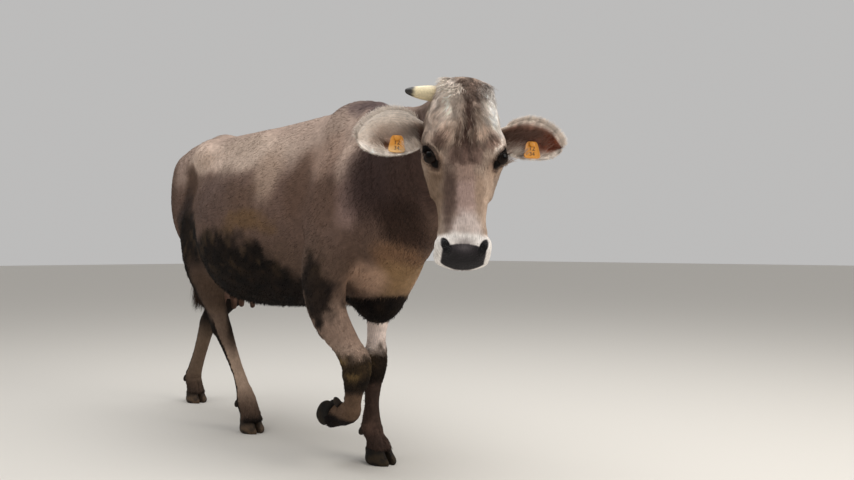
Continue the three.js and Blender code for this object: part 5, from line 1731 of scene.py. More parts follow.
@dataclass(frozen=True)
class HideFinish(Finish):
    """Short summer coat over hide: matt, streaked along the lie of the hair, crusted where muddy.

    The nose pad is wet black skin with a pebbled surface, so its roughness drops and its bump changes.
    """

    name: str = "short_cow_hide"
    hair_length: float = 0.022
    hair_width: float = 0.0021
    clot: float = 0.012
    pebble: float = 0.0034
    streak: float = 0.34
    bump: float = 0.0016

    def build(self) -> bpy.types.Material:
        """Material of the skin."""
        made, tree = self.tree()
        coat = add(tree, "ShaderNodeAttribute", {"attribute_name": "coat"})
        care = add(tree, "ShaderNodeSeparateColor",
                   i0=add(tree, "ShaderNodeAttribute", {"attribute_name": "care"}).outputs["Color"])
        # The first share is mud, with painted shade on the backs of the hind legs.
        mud_and_shade, nose = care.outputs[0], care.outputs[1]
        place = add(tree, "ShaderNodeTexCoord").outputs["Object"]
        grain = add(tree, "ShaderNodeUVMap", {"uv_map": "grain"}).outputs[0]
        stretch = add(tree, "ShaderNodeMapping", Vector=grain, Scale=(1 / self.hair_length, 1 / self.hair_width, 1.0))
        hairs = add(tree, "ShaderNodeTexNoise", Vector=stretch.outputs[0], Scale=1.0, Detail=3.0, Roughness=0.6)
        whorls = add(tree, "ShaderNodeTexNoise", Vector=place, Scale=1 / 0.03, Detail=3.0)
        clots = add(tree, "ShaderNodeTexNoise", Vector=place, Scale=1 / self.clot, Detail=4.0, Roughness=0.65)
        pebbles = add(tree, "ShaderNodeTexVoronoi", {"feature": "SMOOTH_F1"}, Vector=place,
                      Scale=1 / self.pebble, Smoothness=0.4)
        streak = add(tree, "ShaderNodeMapRange", Value=hairs.outputs[0], From_Min=0.3, From_Max=0.7,
                     To_Min=1 - self.streak, To_Max=1 + self.streak * 0.6)
        patchy = add(tree, "ShaderNodeMapRange", Value=whorls.outputs[0], From_Min=0.3, From_Max=0.7,
                     To_Min=0.9, To_Max=1.1)
        both = add(tree, "ShaderNodeMath", {"operation": "MULTIPLY"}, i0=streak.outputs[0], i1=patchy.outputs[0])
        scaled = add(tree, "ShaderNodeVectorMath", {"operation": "SCALE"}, i0=coat.outputs["Color"],
                     Scale=both.outputs[0])
        shine = add(tree, "ShaderNodeMapRange", Value=nose, To_Min=0.12, To_Max=0.2)
        rough = add(tree, "ShaderNodeMapRange", Value=nose, To_Min=0.78, To_Max=0.34)
        crusted = add(tree, "ShaderNodeMath", {"operation": "MULTIPLY_ADD"}, i0=mud_and_shade, i1=0.16, i2=rough.outputs[0])
        soft = add(tree, "ShaderNodeMix", {"data_type": "FLOAT"}, i0=mud_and_shade, i2=hairs.outputs[0], i3=clots.outputs[0])
        height = add(tree, "ShaderNodeMix", {"data_type": "FLOAT"}, i0=nose, i2=soft.outputs[0],
                     i3=pebbles.outputs[0])
        bump = add(tree, "ShaderNodeBump", Height=height.outputs[0], Distance=self.bump, Strength=0.9)
        shader = add(tree, "ShaderNodeBsdfPrincipled", Base_Color=scaled.outputs[0],
                     Roughness=crusted.outputs[0], Normal=bump.outputs[0], IOR=1.45,
                     Specular_IOR_Level=shine.outputs[0])
        self.close(tree, shader)
        return made


@dataclass(frozen=True)
class HairFinish(Finish):
    """Cow hair in locks: satin along the strand, with the markings of the skin under it."""

    name: str = "cow_hair"
    roughness: float = 0.62
    strand: float = 0.0016

    def build(self) -> bpy.types.Material:
        """Material of the locks."""
        made, tree = self.tree()
        coat = add(tree, "ShaderNodeAttribute", {"attribute_name": "coat"})
        care = add(tree, "ShaderNodeSeparateColor",
                   i0=add(tree, "ShaderNodeAttribute", {"attribute_name": "care"}).outputs["Color"])
        place = add(tree, "ShaderNodeTexCoord").outputs["Object"]
        strands = add(tree, "ShaderNodeTexNoise", Vector=place, Scale=1 / self.strand, Detail=2.0)
        shade = add(tree, "ShaderNodeMapRange", Value=strands.outputs[0], From_Min=0.3, From_Max=0.7,
                    To_Min=0.86, To_Max=1.12)
        scaled = add(tree, "ShaderNodeVectorMath", {"operation": "SCALE"}, i0=coat.outputs["Color"],
                     Scale=shade.outputs[0])
        rough = add(tree, "ShaderNodeMath", {"operation": "MULTIPLY_ADD"}, i0=care.outputs[0], i1=0.25,
                    i2=self.roughness)
        shader = add(tree, "ShaderNodeBsdfPrincipled", Base_Color=scaled.outputs[0], Roughness=rough.outputs[0],
                     IOR=1.55, Specular_IOR_Level=0.12)
        self.close(tree, shader)
        return made


@dataclass(frozen=True)
class PaintedFinish(Finish):
    """Smooth horny, glassy or moulded surface that carries its colour in an attribute.

    Fine noise varies the colour and the roughness, and a bump follows the pattern's real size.
    """

    name: str = "keratin"
    roughness: float = 0.5
    ior: float = 1.54
    coat: float = 0.0
    shine: float = 0.5
    pattern: float = 0.004
    stretch: Triple = (1.0, 1.0, 1.0)
    vary: float = 0.15
    bump: float = 0.0003

    def build(self) -> bpy.types.Material:
        """Material of an eye, horn, claw or tag."""
        made, tree = self.tree()
        colour = add(tree, "ShaderNodeAttribute", {"attribute_name": "coat"})
        place = add(tree, "ShaderNodeTexCoord").outputs["Object"]
        scale = tuple(v / self.pattern for v in self.stretch)
        moved = add(tree, "ShaderNodeMapping", Vector=place, Scale=scale)
        fine = add(tree, "ShaderNodeTexNoise", Vector=moved.outputs[0], Scale=1.0, Detail=4.0)
        shade = add(tree, "ShaderNodeMapRange", Value=fine.outputs[0], From_Min=0.3, From_Max=0.7,
                    To_Min=1 - self.vary, To_Max=1 + self.vary)
        scaled = add(tree, "ShaderNodeVectorMath", {"operation": "SCALE"}, i0=colour.outputs["Color"],
                     Scale=shade.outputs[0])
        rough = add(tree, "ShaderNodeMapRange", Value=fine.outputs[0], From_Min=0.3, From_Max=0.7,
                    To_Min=self.roughness * 0.85, To_Max=min(self.roughness * 1.15, 1.0))
        bump = add(tree, "ShaderNodeBump", Height=fine.outputs[0], Distance=self.bump, Strength=0.8)
        shader = add(tree, "ShaderNodeBsdfPrincipled", Base_Color=scaled.outputs[0], Roughness=rough.outputs[0],
                     Normal=bump.outputs[0], IOR=self.ior, Specular_IOR_Level=self.shine, Coat_Weight=self.coat,
                     Coat_Roughness=0.04)
        self.close(tree, shader)
        return made


# ------------------------------------------------------------------ eyes, horn, claws and tags
TAG_SEATS = {Side.LEFT: (156, 221, -106), Side.RIGHT: (166, -198, -94)}


@dataclass
class Fittings:
    """Hard pieces that stand out of the skin, each of which stands for its plain CAD node."""

    shape: CowShape
    claw_sides: int = 56
    claw_rows: tuple[float, ...] = (0, 0.6, 2.5, 6, 10, 16, 22, 28, 34, 40, 46, 52, 57, 61, 64.5)
    claw_table: tuple[tuple[float, float, float, float], ...] = (
        (0, 116, 50, 6), (8, 124, 53, 5), (36, 108, 50, -6), (66, 86, 45, -18))
    dewclaw_table: tuple[tuple[float, float], ...] = ((-8, 12), (0, 14.5), (10, 15), (20, 13.5), (29, 9.5), (34.5, 4))
    horn_line: tuple[tuple[float, float, float, float], ...] = (
        (14, -62, -52, 25.5), (14, -76, -52, 25), (12, -106, -53, 23.5), (12, -134, -52, 20), (12, -160, -49, 14),
        (12, -176, -47, 8), (12, -181, -46, 3))

    def finish(self, name: str, surface: Surface, colour: Array, material: bpy.types.Material, slot: str,
               *nodes: str) -> bpy.types.Object:
        """Puts a surface in the scene with its colour, to stand for its CAD nodes."""
        made = mesh_object(name, self.shape.away(surface.points), surface.faces)
        put_colour(made.data, "coat", np.clip(colour, 0, 1))
        made.data.materials.append(material)
        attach(made, "root")
        if nodes:
            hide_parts(*nodes)
        LOG.info("%s: %d triangles", name, len(surface.faces))
        return made

    def eyes(self, material: bpy.types.Material) -> None:
        """Eyeballs with a raised clear front, a dark brown iris and a wide level pupil."""
        for side, eye in self.shape.eyes.items():
            polar, turn = np.meshgrid(np.linspace(0.001, math.pi - 0.001, 56),
                                      np.linspace(0, 2 * math.pi, 64, endpoint=False), indexing="ij")
            radius = eye.radius + 1.7 * smooth(0.78, 0.45, polar)
            x, y, z = (radius * np.sin(polar) * np.cos(turn), radius * np.sin(polar) * np.sin(turn),
                       radius * np.cos(polar))
            rings = eye.centre + np.stack([x, y, z], -1) @ np.array([eye.long, eye.short, eye.sight])
            surface = tube(rings)
            rel = surface.points - eye.centre
            p, q, r = rel @ eye.long, rel @ eye.short, rel @ eye.sight
            across = np.hypot(p, q)
            rgb = np.tile(srgb(0x1C1310), (len(p), 1))
            fibres = 0.5 + 0.5 * np.sin(np.arctan2(q, p) * 46)
            iris = smooth(15.8, 14.6, across) * (r > 0)
            tone = srgb(0x120B08) + (srgb(0x24160C) - srgb(0x1B100A)) * (fibres * smooth(7, 13, across))[:, None]
            rgb += (tone - rgb) * iris[:, None]
            pupil = smooth(1.08, 0.92, np.hypot(p / 9.5, q / 6.0)) * (r > 0)
            rgb += (srgb(0x030303) - rgb) * pupil[:, None]
            name = side.name.lower()
            self.finish(f"eyeball_{name}", surface, linear(rgb), material, "eye", f"eye_{name}")

    def horn(self, material: bpy.types.Material) -> None:
        """Short horn: rings about a curved line, ridged at the base, cream with a dark tip."""
        h = self.shape.head
        line = filled(self.horn_line, 6)
        angle = np.linspace(0, 2 * math.pi, 40, endpoint=False)
        share = np.linspace(0, 1, len(line))
        ridges = 0.5 * np.sin(share * 90) * smooth(0.75, 0.2, share)
        radius = (line[:, 3] + ridges)[:, None]
        a = line[:, 0][:, None] + radius * np.cos(angle)
        s = line[:, 1][:, None] + 0 * angle
        u = line[:, 2][:, None] + radius * np.sin(angle)
        surface = tube(h.origin + np.stack([a, s, u], -1) @ h.axes)
        out = -h.local(surface.points)[:, 1]
        streak = noise(h.local(surface.points) * (1, 0.15, 1), 4.0, 5)
        rgb = srgb(0xB8A27E) + (srgb(0xE2D3AE) - srgb(0xB8A27E)) * smooth(84, 112, out + 8 * streak)[:, None]
        rgb = rgb + (srgb(0x26221F) - rgb) * smooth(148, 166, out + 14 * (streak - 0.5))[:, None]
        self.finish("horn", surface, linear(rgb * (0.9 + 0.2 * streak)[:, None]), material, "horn", "horn_right")

    def claws(self, material: bpy.types.Material) -> None:
        """Claws: a flat sole, a sloping toe wall with growth rings, and a soft heel."""
        table = np.array(self.claw_table, float)
        rows = np.array(self.claw_rows)
        angle = np.linspace(0, 2 * math.pi, self.claw_sides, endpoint=False)
        c, s = np.cos(angle)[None, :], np.sin(angle)[None, :]
        for foot in self.shape.feet:
            for side in Side:
                k, sign = foot.scale, side.value
                length, width, forward = (hermite(table[:, 0], table[:, i], rows)[:, None] * k for i in (1, 2, 3))
                growth = 0.5 * np.sin(rows * 0.9)[:, None] * (rows > 4)[:, None] * (rows < 60)[:, None]
                edge = -1.6 * (1 - smooth(0, 3, rows))[:, None] - 5.0 * smooth(58, 66, rows)[:, None]
                long = length / 2 + growth + edge
                if foot.pitch:
                    long = long * (1 - 0.14 * smooth(44, 0, rows))[:, None]
                taper = 1 - 0.3 * np.maximum(c, 0) ** 2
                front = forward + long * c * np.where(c > 0, 1.04, 1)
                out = np.where(s > 0, 3 + (width + growth + edge) * taper * (0.3 + 0.7 * s),
                               3 + (width + edge) * 0.3 * (1 + s) * taper)
                up = np.broadcast_to(rows[:, None], front.shape)
                surface = tube(foot.place(front, sign * out, up))
                local = (surface.points - foot.at) @ foot.axes.T
                streak = noise(local * (1, 1, 0.12), 3.2, 9)
                rgb = srgb(0x1E1916) + (srgb(0x3A3028) - srgb(0x1E1916)) * streak[:, None]
                crust = smooth(0.36, 0.58, layered(local, 26, 3)) * smooth(70, 20, local[:, 2])
                dry = 0x5C4B36 if foot.at[0] > -400 else 0x5E4C3C
                rgb = rgb + (srgb(dry) - rgb) * (0.85 * crust)[:, None]
                if foot.pitch:
                    rgb = rgb * 0.45
                elif foot.at[0] > -400:
                    rgb = rgb * 0.62
                name = f"{foot.name}_{side.name.lower()}"
                self.finish(f"hoof_{name}", surface, linear(rgb), material, "hoof", f"claw_{name}")
                self.dewclaw(foot, side, name, material)

    def dewclaw(self, foot: Foot, side: Side, name: str, material: bpy.types.Material) -> None:
        """Small blunt cone of horn behind the fetlock."""
        way = unit(foot.dewclaw_way)
        cross = unit(np.cross(way, LEFT))
        centre = np.asarray(foot.dewclaw_root, float) + LEFT * side.value * 25
        line = filled(self.dewclaw_table, 3)
        angle = np.linspace(0, 2 * math.pi, 24, endpoint=False)
        r = line[:, 1][:, None, None]
        rings = (centre + way * line[:, 0][:, None, None] + cross * (r * np.cos(angle)[None, :, None])
                 + LEFT * (0.85 * r * np.sin(angle)[None, :, None]))
        surface = tube(rings)
        rgb = srgb(0x171210) + (srgb(0x352B23) - srgb(0x171210)) * noise(surface.points, 6, 2)[:, None]
        self.finish(f"dewclaw_horn_{name}", surface, linear(rgb), material, "hoof", f"dewclaw_{name}")

    def tags(self, material: bpy.types.Material, ink: bpy.types.Material) -> None:
        """Ear tags: a rounded plate, wider below, with a stud through the ear and plain numbers."""
        h = self.shape.head
        for side, seat in TAG_SEATS.items():
            centre = h.at(*seat)
            angle = np.linspace(0, 2 * math.pi, 64, endpoint=False)
            c, s = np.cos(angle), np.sin(angle)
            square = (np.abs(c) ** 5 + np.abs(s) ** 5) ** (-1 / 5)
            rise = 28 * square * s
            half = 28 * (0.81 + 0.19 * rise / 28) * square * c
            rings = []
            for height, grow in ((-1.2, -1.2), (-1.2, -0.5), (-0.7, 0), (0.7, 0), (1.2, -0.5), (1.2, -2.4), (0.6, -3.4),
                                 (0.6, -8)):
                share = 1 + grow / 28
                rings.append(centre + np.outer(half * share, h.left) + np.outer(rise * share, h.nose)
                             + h.face * height)
            plate = tube(np.array(rings))
            stud = []
            for height, radius in ((-60, 3.6), (-4, 3.6), (-3.6, 9), (-1.4, 9.6), (0.5, 9.6), (3.2, 9.2), (4.6, 7.6),
                                   (4.9, 4)):
                stud.append(centre - h.nose * 18 + np.outer(radius * c, h.left) + np.outer(radius * s, h.nose)
                            + h.face * height)
            surface = joined([plate, tube(np.array(stud))])
            low = (surface.points - centre) @ h.nose
            rgb = srgb(0xD08A26) + (srgb(0xE6BC86) - srgb(0xD08A26)) * (
                0.7 * smooth(2, 16, low) * (side is Side.RIGHT))[:, None]
            name = side.name.lower()
            plate_object = self.finish(f"ear_tag_{name}", surface, linear(rgb), material, "tag", f"tag_{name}")
            self.numbers(plate_object.name, centre, ink)

    def numbers(self, plate: str, centre: Array, ink: bpy.types.Material) -> None:
        """Two rows of plain printed numbers on a plate."""
        h = self.shape.head
        for text, size, rise in (("12", 0.020, 2.0), ("34", 0.017, 19.0)):
            curve = bpy.data.curves.new("number", "FONT")
            curve.body, curve.size, curve.align_x = text, size, "CENTER"
            curve.extrude, curve.resolution_u = 0.0002, 4
            holder = bpy.data.objects.new("number", curve)
            bpy.context.scene.collection.objects.link(holder)
            graph = bpy.context.evaluated_depsgraph_get()
            mesh = bpy.data.meshes.new_from_object(holder.evaluated_get(graph))
            bpy.data.objects.remove(holder)
            at = self.shape.away(centre + h.nose * rise + h.face * 0.75)
            turn = Matrix((h.left, -h.nose, h.face)).transposed()
            mesh.transform(Matrix.Translation(Vector(at)) @ turn.to_4x4())
            mesh.materials.append(ink)
            made = bpy.data.objects.new(f"{plate}_number_{text}", mesh)
            bpy.context.scene.collection.objects.link(made)
            put_colour(mesh, "coat", np.tile(linear(0x2A1E14), (len(mesh.vertices), 1)))
            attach(made, "root")


# ------------------------------------------------------------------ stage
@dataclass
class Stage:
    """Pale floor, soft studio light, and the camera."""

    shape: CowShape
    focal: float = 33.48
    sensor: float = 36.0
    place: Triple = (2465, -1892, 842)
    azimuth: float = 48.49
    pitch: float = 0.75
    clip: tuple[float, float] = (0.05, 200.0)
    floor_half: float = 45.0
    lit_point: Triple = (0.2, 0, 0.9)
    sky_strength: float = 0.58

    def camera(self) -> None:
        """Camera a little in front of the cow's right shoulder, at elbow height."""
        data = bpy.data.cameras.new("camera")
        data.lens, data.sensor_width = self.focal, self.sensor
        made = bpy.data.objects.new("camera", data)
        azimuth, pitch = math.radians(self.azimuth), math.radians(self.pitch)
        ahead = Vector((-math.sin(azimuth) * math.cos(pitch), math.cos(azimuth) * math.cos(pitch), math.sin(pitch)))
        made.location = self.shape.away(np.array(self.place, float))
        made.rotation_mode = "QUATERNION"
        made.rotation_quaternion = ahead.to_track_quat("-Z", "Y")
        data.clip_start, data.clip_end = self.clip
        bpy.context.scene.collection.objects.link(made)
        bpy.context.scene.camera = made

    def floor(self) -> None:
        """Wide plain floor at the level of the soles."""
        half = self.floor_half
        points = np.array([(-half, -half, 0), (half, -half, 0), (half, half, 0), (-half, half, 0)])
        made = mesh_object("floor", points, np.array([[0, 1, 2], [0, 2, 3]]))
        finish = Finish()
        finish.name = "floor_paint"
        material, tree = finish.tree()
        shader = add(tree, "ShaderNodeBsdfPrincipled", Base_Color=colour4(0xD9D5CE), Roughness=0.9)
        finish.close(tree, shader)
        made.data.materials.append(material)

    def light(self, name: str, size: float, power: float, at: Triple, colour: int) -> None:
        """Square soft light at a place in metres, facing the middle of the body."""
        data = bpy.data.lights.new(name, "AREA")
        data.shape, data.size, data.energy, data.color = "SQUARE", size, power, tuple(linear(colour))
        made = bpy.data.objects.new(name, data)
        made.location = at
        made.rotation_mode = "QUATERNION"
        made.rotation_quaternion = (Vector(self.lit_point) - Vector(at)).to_track_quat("-Z", "Y")
        bpy.context.scene.collection.objects.link(made)

    def lights(self) -> None:
        """Pale sky all round, one large soft light above, and one from the camera's right."""
        world = bpy.data.worlds.new("sky")
        world.use_nodes = True
        back = world.node_tree.nodes["Background"]
        back.inputs[0].default_value = colour4(0xF0EFEE)
        back.inputs[1].default_value = self.sky_strength
        scene = bpy.context.scene
        scene.world = world
        scene.view_settings.view_transform = "Standard"
        self.light("top", 5.0, 190, (0.4, -0.4, 5.2), 0xFFFFFF)
        self.light("key", 2.6, 95, (4.4, 1.3, 3.2), 0xFFFAF2)


# ------------------------------------------------------------------ putting it together
HEEL_X = -83.0  # back of the left fore claws in the working frame, in mm
FOOT_Y = 67.0  # middle of the left fore foot in the working frame, in mm


def frame_shift() -> Array:
    """Offset from the working frame to the model's own, from the claws of the left fore foot."""
    left_low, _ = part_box("claw_fore_left_left")
    _, right_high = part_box("claw_fore_left_right")
    return np.array([left_low[0] * 1000 - HEEL_X, (left_low[1] + right_high[1]) * 500 - FOOT_Y, 0.0])


def eye_centre(side: Side, shift: Array) -> Array:
    """Middle of one CAD eyeball in the working frame."""
    low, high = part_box(f"eye_{side.name.lower()}")
    return (np.array(low) + np.array(high)) * 500 - shift


def skin_object(shape: CowShape, charts: Charts, marks: Markings, surface: Surface) -> bpy.types.Object:
    """The skin in the scene, with its markings and the map of its grain."""
    made = mesh_object("skin", shape.away(surface.points), surface.faces)
    colour, care = marks.paint(surface.points)
    put_colour(made.data, "coat", colour)
    put_colour(made.data, "care", care)
    region = charts.region(surface.points)[surface.faces[:, 0]]
    corners = surface.points[surface.faces.ravel()]
    grain = charts.grain(corners, np.repeat(region, 3)).reshape(-1, 3, 2)
    girth = np.array([charts.GIRTH[name] for name in charts.ORDER])[region] * 2 * np.pi
    gap = grain[:, :, 1] - grain[:, :1, 1]
    grain[:, :, 1] -= np.round(gap / girth[:, None]) * girth[:, None]
    slant = np.isin(region, [charts.ORDER.index(Region.TRUNK), charts.ORDER.index(Region.NECK)]) * 0.5
    u = grain[:, :, 0] - slant[:, None] * np.abs(grain[:, :, 1])
    v = grain[:, :, 1] + slant[:, None] * grain[:, :, 0] * np.sign(grain[:, :, 1])
    put_map(made.data, "grain", np.stack([u, v], 2).reshape(-1, 2) / 1000)
    made.data.materials.append(HideFinish().build())
    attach(made, "root")
    legs = [f"{pair}_leg_{side}" for pair in ("fore", "hind") for side in ("left", "right")]
    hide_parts("trunk", "neck", "head", "udder", "tail", "ear_left", "ear_right", *legs)
    LOG.info("skin: %d triangles", len(surface.faces))
    return made


def grow_coat(coat: Coat, material: bpy.types.Material) -> None:
    """All pieces of the coat, from the short body hair to the long switch of the tail."""
    order, shape = coat.charts.ORDER, coat.shape
    index = {name: order.index(name) for name in Region}
    h = shape.head

    def inside(*names: Region) -> Callable[[Array, Array], Array]:
        """Wants the regions named."""
        numbers = [index[name] for name in names]
        return lambda p, region: np.isin(region, numbers).astype(float)

    def half(side: Side) -> Callable[[Array, Array], Array]:
        """Wants one side of the trunk."""
        return lambda p, region: (region == index[Region.TRUNK]) * (p[:, 1] * side.value > 0)

    def on_face(low: float, high: float, wide: float, deep: float = -60) -> Callable[[Array, Array], Array]:
        """Wants a band of the face between two stations."""
        def want(p: Array, region: Array) -> Array:
            a, s, u = h.local(p).T
            return ((region == index[Region.HEAD]) * smooth(low - 12, low + 12, a) * smooth(high + 16, high - 16, a)
                    * smooth(wide + 12, wide - 12, np.abs(s)) * (u > deep) * off_eyes(p))
        return want

    def off_eyes(p: Array) -> Array:
        """0 round the eyes, 1 away from them."""
        return smooth(46, 60, np.min([np.linalg.norm(p - eye.centre, axis=1) for eye in shape.eyes.values()], axis=0))

    def short_hair(p: Array, region: Array) -> Array:
        """Wants the head, but no nose pad, lids or lips, and closer towards the forehead."""
        a, s, u = h.local(p).T
        eyes = np.min([eye.slot.outline(p) + 60 * (np.linalg.norm(p - eye.centre, axis=1) > 50)
                       - 9 * smooth(-2, 6, (p - eye.centre) @ eye.short) for eye in shape.eyes.values()], axis=0)
        bare = coat.marks.paint(p)[1][:, 1]
        lips = (np.abs(u + 103) < 8) & (a > 440)
        pad = (a > 478) & (np.abs(s) < 80) & (u > -98)
        return (region == index[Region.HEAD]) * (bare < 0.1) * (eyes > 7) * (1 + 0.8 * (a < 260)) * ~lips * ~pad

    side_cut = Cut(length=23, width=3.2, lift=3.0)
    for side, seed in ((Side.LEFT, 11), (Side.RIGHT, 12)):
        coat.piece(f"coat_trunk_{side.name.lower()}", coat.scatter(17000, seed, half(side)),
                   side_cut, seed, material)
    for name, slot, count, seed, regions, cut in (
            ("coat_neck", "dark_coat", 12500, 13, (Region.NECK,), Cut(24, 3.3, lift=3.5)),
            ("coat_fore_legs", "leg_coat", 9000, 14, (Region.FORE_LEFT, Region.FORE_RIGHT), Cut(14, 2.6, lift=3.5)),
            ("coat_hind_legs", "leg_coat", 10000, 15, (Region.HIND_LEFT, Region.HIND_RIGHT), Cut(15, 2.8, lift=3.5)),
            ("coat_tail", "flank_coat", 2600, 16, (Region.TAIL,), Cut(24, 2.8, lift=5))):
        coat.piece(name, coat.scatter(count, seed, inside(*regions)), cut, seed, material)
    head_roots = coat.scatter(19000, 17, short_hair)
    a = h.local(head_roots.points)[:, 0]
    coat.piece("coat_head", head_roots, Cut(11, 1.6, lift=3.6, jitter=0.2), 17, material,
               1.0 - 0.55 * smooth(290, 430, a) - 0.23 * smooth(440, 480, a))
    forehead = coat.scatter(4200, 18, on_face(20, 235, 92))
    bend = layered(h.local(forehead.points) * (0.6, 1, 1), 30, 8) - 0.5
    forehead.flow = units(forehead.flow + h.left * (3.0 * bend)[:, None])
    coat.piece("coat_forehead", forehead, Cut(30, 2.2, rings=4, lift=3, jitter=0.12, curl=0.9, turns=1.0),
               18, material)
    knot = coat.scatter(1300, 19, on_face(-42, 30, 56, -50))
    s, clump = h.local(knot.points)[:, 1], noise(knot.points, 17, 6) - 0.5
    knot.flow = units(h.nose * (0.9 + clump)[:, None] + h.face * 0.2 + h.left * (s / 160 + 2.4 * clump)[:, None])
    dark = np.abs(s - 20) < 34 + 30 * clump
    for name, some, dye in (("topknot", dark, (0x54433B, 0.55)), ("crown", ~dark, (0xE6DACE, 0.6))):
        coat.piece(name, knot.pick(some), Cut(44, 2.6, rings=9, lift=6, jitter=0.16, curl=4.0, turns=1.2,
                   tint=0.3), 19, material, dye=dye)
    grow_ears(coat, material)
    grow_long(coat, material)


def grow_ears(coat: Coat, material: bpy.types.Material) -> None:
    """Short hair on both faces of the ears, a fringe round their rims and long hair inside them."""
    for side, name, seed in ((Side.LEFT, Region.EAR_LEFT, 31), (Side.RIGHT, Region.EAR_RIGHT, 32)):
        ear, label = coat.shape.ears[side], side.name.lower()
        number = coat.charts.ORDER.index(name)
        tag = coat.shape.head.at(*TAG_SEATS[side])

        def clear(p: Array) -> Array:
            """1 away from the ear tag, 0 behind it."""
            return smooth(34, 44, np.linalg.norm(p - tag, axis=1))

        coat.piece(f"coat_ear_{label}", coat.scatter(4200, seed, lambda p, region: (region == number)
                                                                 * clear(p)),
                   Cut(11, 1.8, lift=4, jitter=0.3), seed, material)

        def rim(p: Array, region: Array) -> Array:
            """Wants the rim of the ear."""
            t, s, _ = ear.local(p)
            return (region == number) * smooth(0.72, 0.92, np.abs(s) + 0.5 * smooth(0.86, 1.0, t)) * (t > 0.1)

        fringe = coat.scatter(2300, seed + 10, rim)
        t, s, _ = ear.local(fringe.points)
        fringe.flow = units(ear.out * (0.85 + 0.5 * smooth(0.6, 1, t))[:, None]
                            + ear.down * (np.clip(s, -1, 1) * 0.7)[:, None] + ear.face * 0.12 - UP * 0.15
                            + (ear.down * 0.9 - ear.out * 0.3) * smooth(0.3, 0.8, s)[:, None])
        lower = smooth(0.0, 0.6, s)
        coat.piece(f"fringe_ear_{label}", fringe,
                   Cut(19, 1.5, rings=4, lift=3, jitter=0.2, droop=0.14, curl=0.7), seed + 10, material,
                   0.36 + 0.95 * lower, dye=(0xE2D6CA, 0.5))

        def bowl(p: Array, region: Array) -> Array:
            """Wants the hollow of the ear, towards its root and its upper edge."""
            t, s, w = ear.local(p)
            return (region == number) * (w > 1) * smooth(0.85, 0.5, t) * smooth(0.5, 0.0, s) * (t > 0.06) * clear(p)

        inner = coat.scatter(620, seed + 20, bowl)
        inner.flow = np.tile(unit(ear.out * 0.9 + ear.down + ear.face * 0.35), (len(inner.points), 1))
        coat.piece(f"inner_hair_ear_{label}", inner,
                   Cut(38, 1.4, rings=6, lift=10, jitter=0.2, droop=0.08, curl=1.0), seed + 20, material,
                   dye=(0xD8CABD if side is Side.RIGHT else 0x8E776B, 0.4))


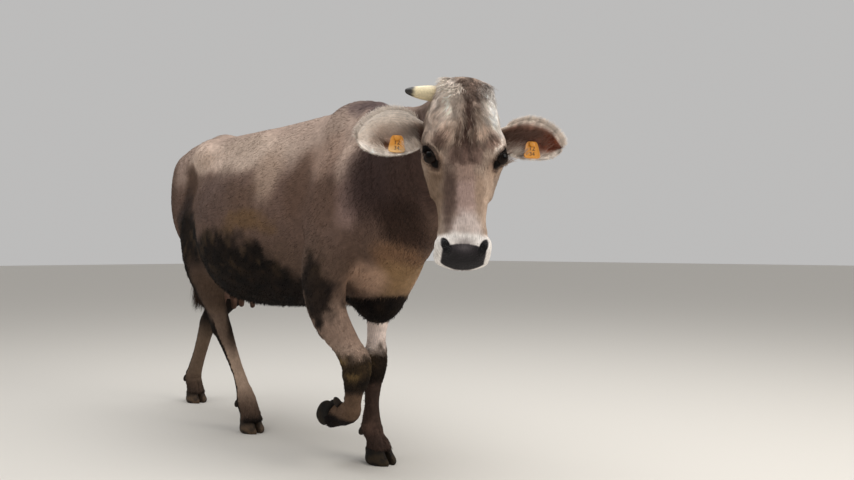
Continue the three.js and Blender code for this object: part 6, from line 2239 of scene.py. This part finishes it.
def grow_long(coat: Coat, material: bpy.types.Material) -> None:
    """Tail switch, clotted hair of belly, brisket and elbows, fetlock hair and lashes."""
    shape, order = coat.shape, coat.charts.ORDER
    tip = coat.scatter(1150, 51, lambda p, region: (p[:, 0] < -1470) * (np.abs(p[:, 1]) < 60) * (p[:, 2] < 850)
                       * (p[:, 2] > 640) * (1 + 2 * smooth(800, 680, p[:, 2])))
    tip.flow = units(-UP + 0.16 * tip.normals)
    z = tip.points[:, 2]
    switch = coat.piece("switch", tip, Cut(165, 4.2, rings=9, lift=3, jitter=0.06, spread=0.22, curl=4.0,
                        turns=1.3, tint=0.2), 51, material, np.clip((z - 480) / 230, 0.6, 1.25),
                        dye=(0x3A2A20, 0.75))
    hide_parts("tail_switch")

    def clotted(p: Array, region: Array) -> Array:
        """Wants the muddy underside of body and brisket, and the elbows."""
        mud_and_shade = coat.marks.mud_and_shade(p)
        under = smooth(720, 640, p[:, 2]) + 0.35 * smooth(900, 760, p[:, 2])
        low = (p[:, 2] > 540) * (p[:, 0] > -1300) * (p[:, 0] < 300)
        return (region != order.index(Region.UDDER)) * low * smooth(0.4, 0.8, mud_and_shade) * under

    belly = coat.scatter(4200, 52, clotted)
    belly.flow = units(belly.flow * 0.7 - UP * 0.5 + belly.normals * 0.15)
    coat.piece("clotted_belly", belly, Cut(14, 3.2, rings=3, lift=8, jitter=0.45, spread=0.45, curl=0.8,
               tint=0.2), 52, material)
    feet = coat.scatter(3600, 53, lambda p, region: (p[:, 0] < 400) * (p[:, 2] < 150) * smooth(40, 60, p[:, 2])
                        + (np.linalg.norm(p - shape.feet[1].at, axis=1) < 150) * 1.0)
    coat.piece("fetlock_hair", feet, Cut(16, 2.8, rings=3, lift=6, jitter=0.3, spread=0.4, curl=0.6,
               tint=0.15), 53, material)
    knees = coat.scatter(3000, 54, lambda p, region: (p[:, 0] > -300) * (p[:, 0] < 350)
                         * smooth(300, 350, p[:, 2]) * smooth(520, 460, p[:, 2]))
    coat.piece("clotted_knees", knees, Cut(12, 3.6, rings=3, lift=9, jitter=0.55, spread=0.45, curl=1.2,
               tint=0.2), 54, material)
    lashes = []
    for eye in shape.eyes.values():
        rng = np.random.default_rng(60 + eye.side.value)
        x = rng.uniform(-19, 19, 60)
        up = (eye.slot.half_length**2 + eye.slot.upper**2) / (2 * eye.slot.upper)
        y = np.sqrt(up**2 - x**2) - up + eye.slot.upper + 1.6
        z = np.sqrt(np.maximum(27.0**2 - x**2 - y**2, 0))
        points = eye.centre + np.stack([x, y, z], 1) @ np.array([eye.long, eye.short, eye.sight])
        normals = np.tile(eye.short, (len(x), 1))
        flow = units(eye.sight + eye.short * 0.35 + eye.long * (x / 40)[:, None])
        lashes.append(Roots(points, normals, flow, np.full(len(x), order.index(Region.HEAD))))
    parts = ("points", "normals", "flow", "region")
    every = Roots(*(np.concatenate([getattr(r, key) for r in lashes]) for key in parts))
    coat.piece("lashes", every, Cut(17, 1.1, rings=5, lift=14, jitter=0.1, droop=0.25, tint=0.05), 60,
               material, dye=(0x0E0A09, 0.95))


def main() -> None:
    """Builds the cow in order: shape, skin, coat, fittings, then the stage."""
    logging.basicConfig(level=logging.INFO, format="%(relativeCreated)7d ms  %(message)s")
    shift = frame_shift()
    shape = CowShape(shift, {side: eye_centre(side, shift) for side in Side})
    stage = Stage(shape)
    stage.camera()
    charts = Charts(shape)
    marks = Markings(shape)
    surface = Skin(shape).whole()
    skin_object(shape, charts, marks, surface)
    coat = Coat(shape, charts, marks, Lie(shape, charts), surface, surface.normals())
    coat.prepare()
    grow_coat(coat, HairFinish().build())
    fittings = Fittings(shape)
    # Cornea: clear and wet over a dark iris.
    fittings.eyes(PaintedFinish("wet_eye", 0.09, 1.376, coat=0.05, shine=0.1, pattern=0.003, vary=0.08,
                                bump=0.00005).build())
    # Horn sheath: satin keratin, streaked along the horn.
    fittings.horn(PaintedFinish("horn_sheath", 0.42, 1.54, pattern=0.004, vary=0.14, bump=0.0003).build())
    # Claw wall: dull scuffed keratin with dried mud.
    fittings.claws(PaintedFinish("claw_wall", 0.74, 1.54, shine=0.14, pattern=0.006, vary=0.25, bump=0.0009).build())
    # Moulded polyurethane: soft sheen, faintly mottled by weather.
    fittings.tags(PaintedFinish("moulded_tag", 0.42, 1.5, pattern=0.005, vary=0.05, bump=0.0001).build(),
                  PaintedFinish("printed_ink", 0.6, 1.5, pattern=0.002, vary=0.2, bump=0.00005).build())
    stage.floor()
    stage.lights()


if __name__ == "__main__":
    main()
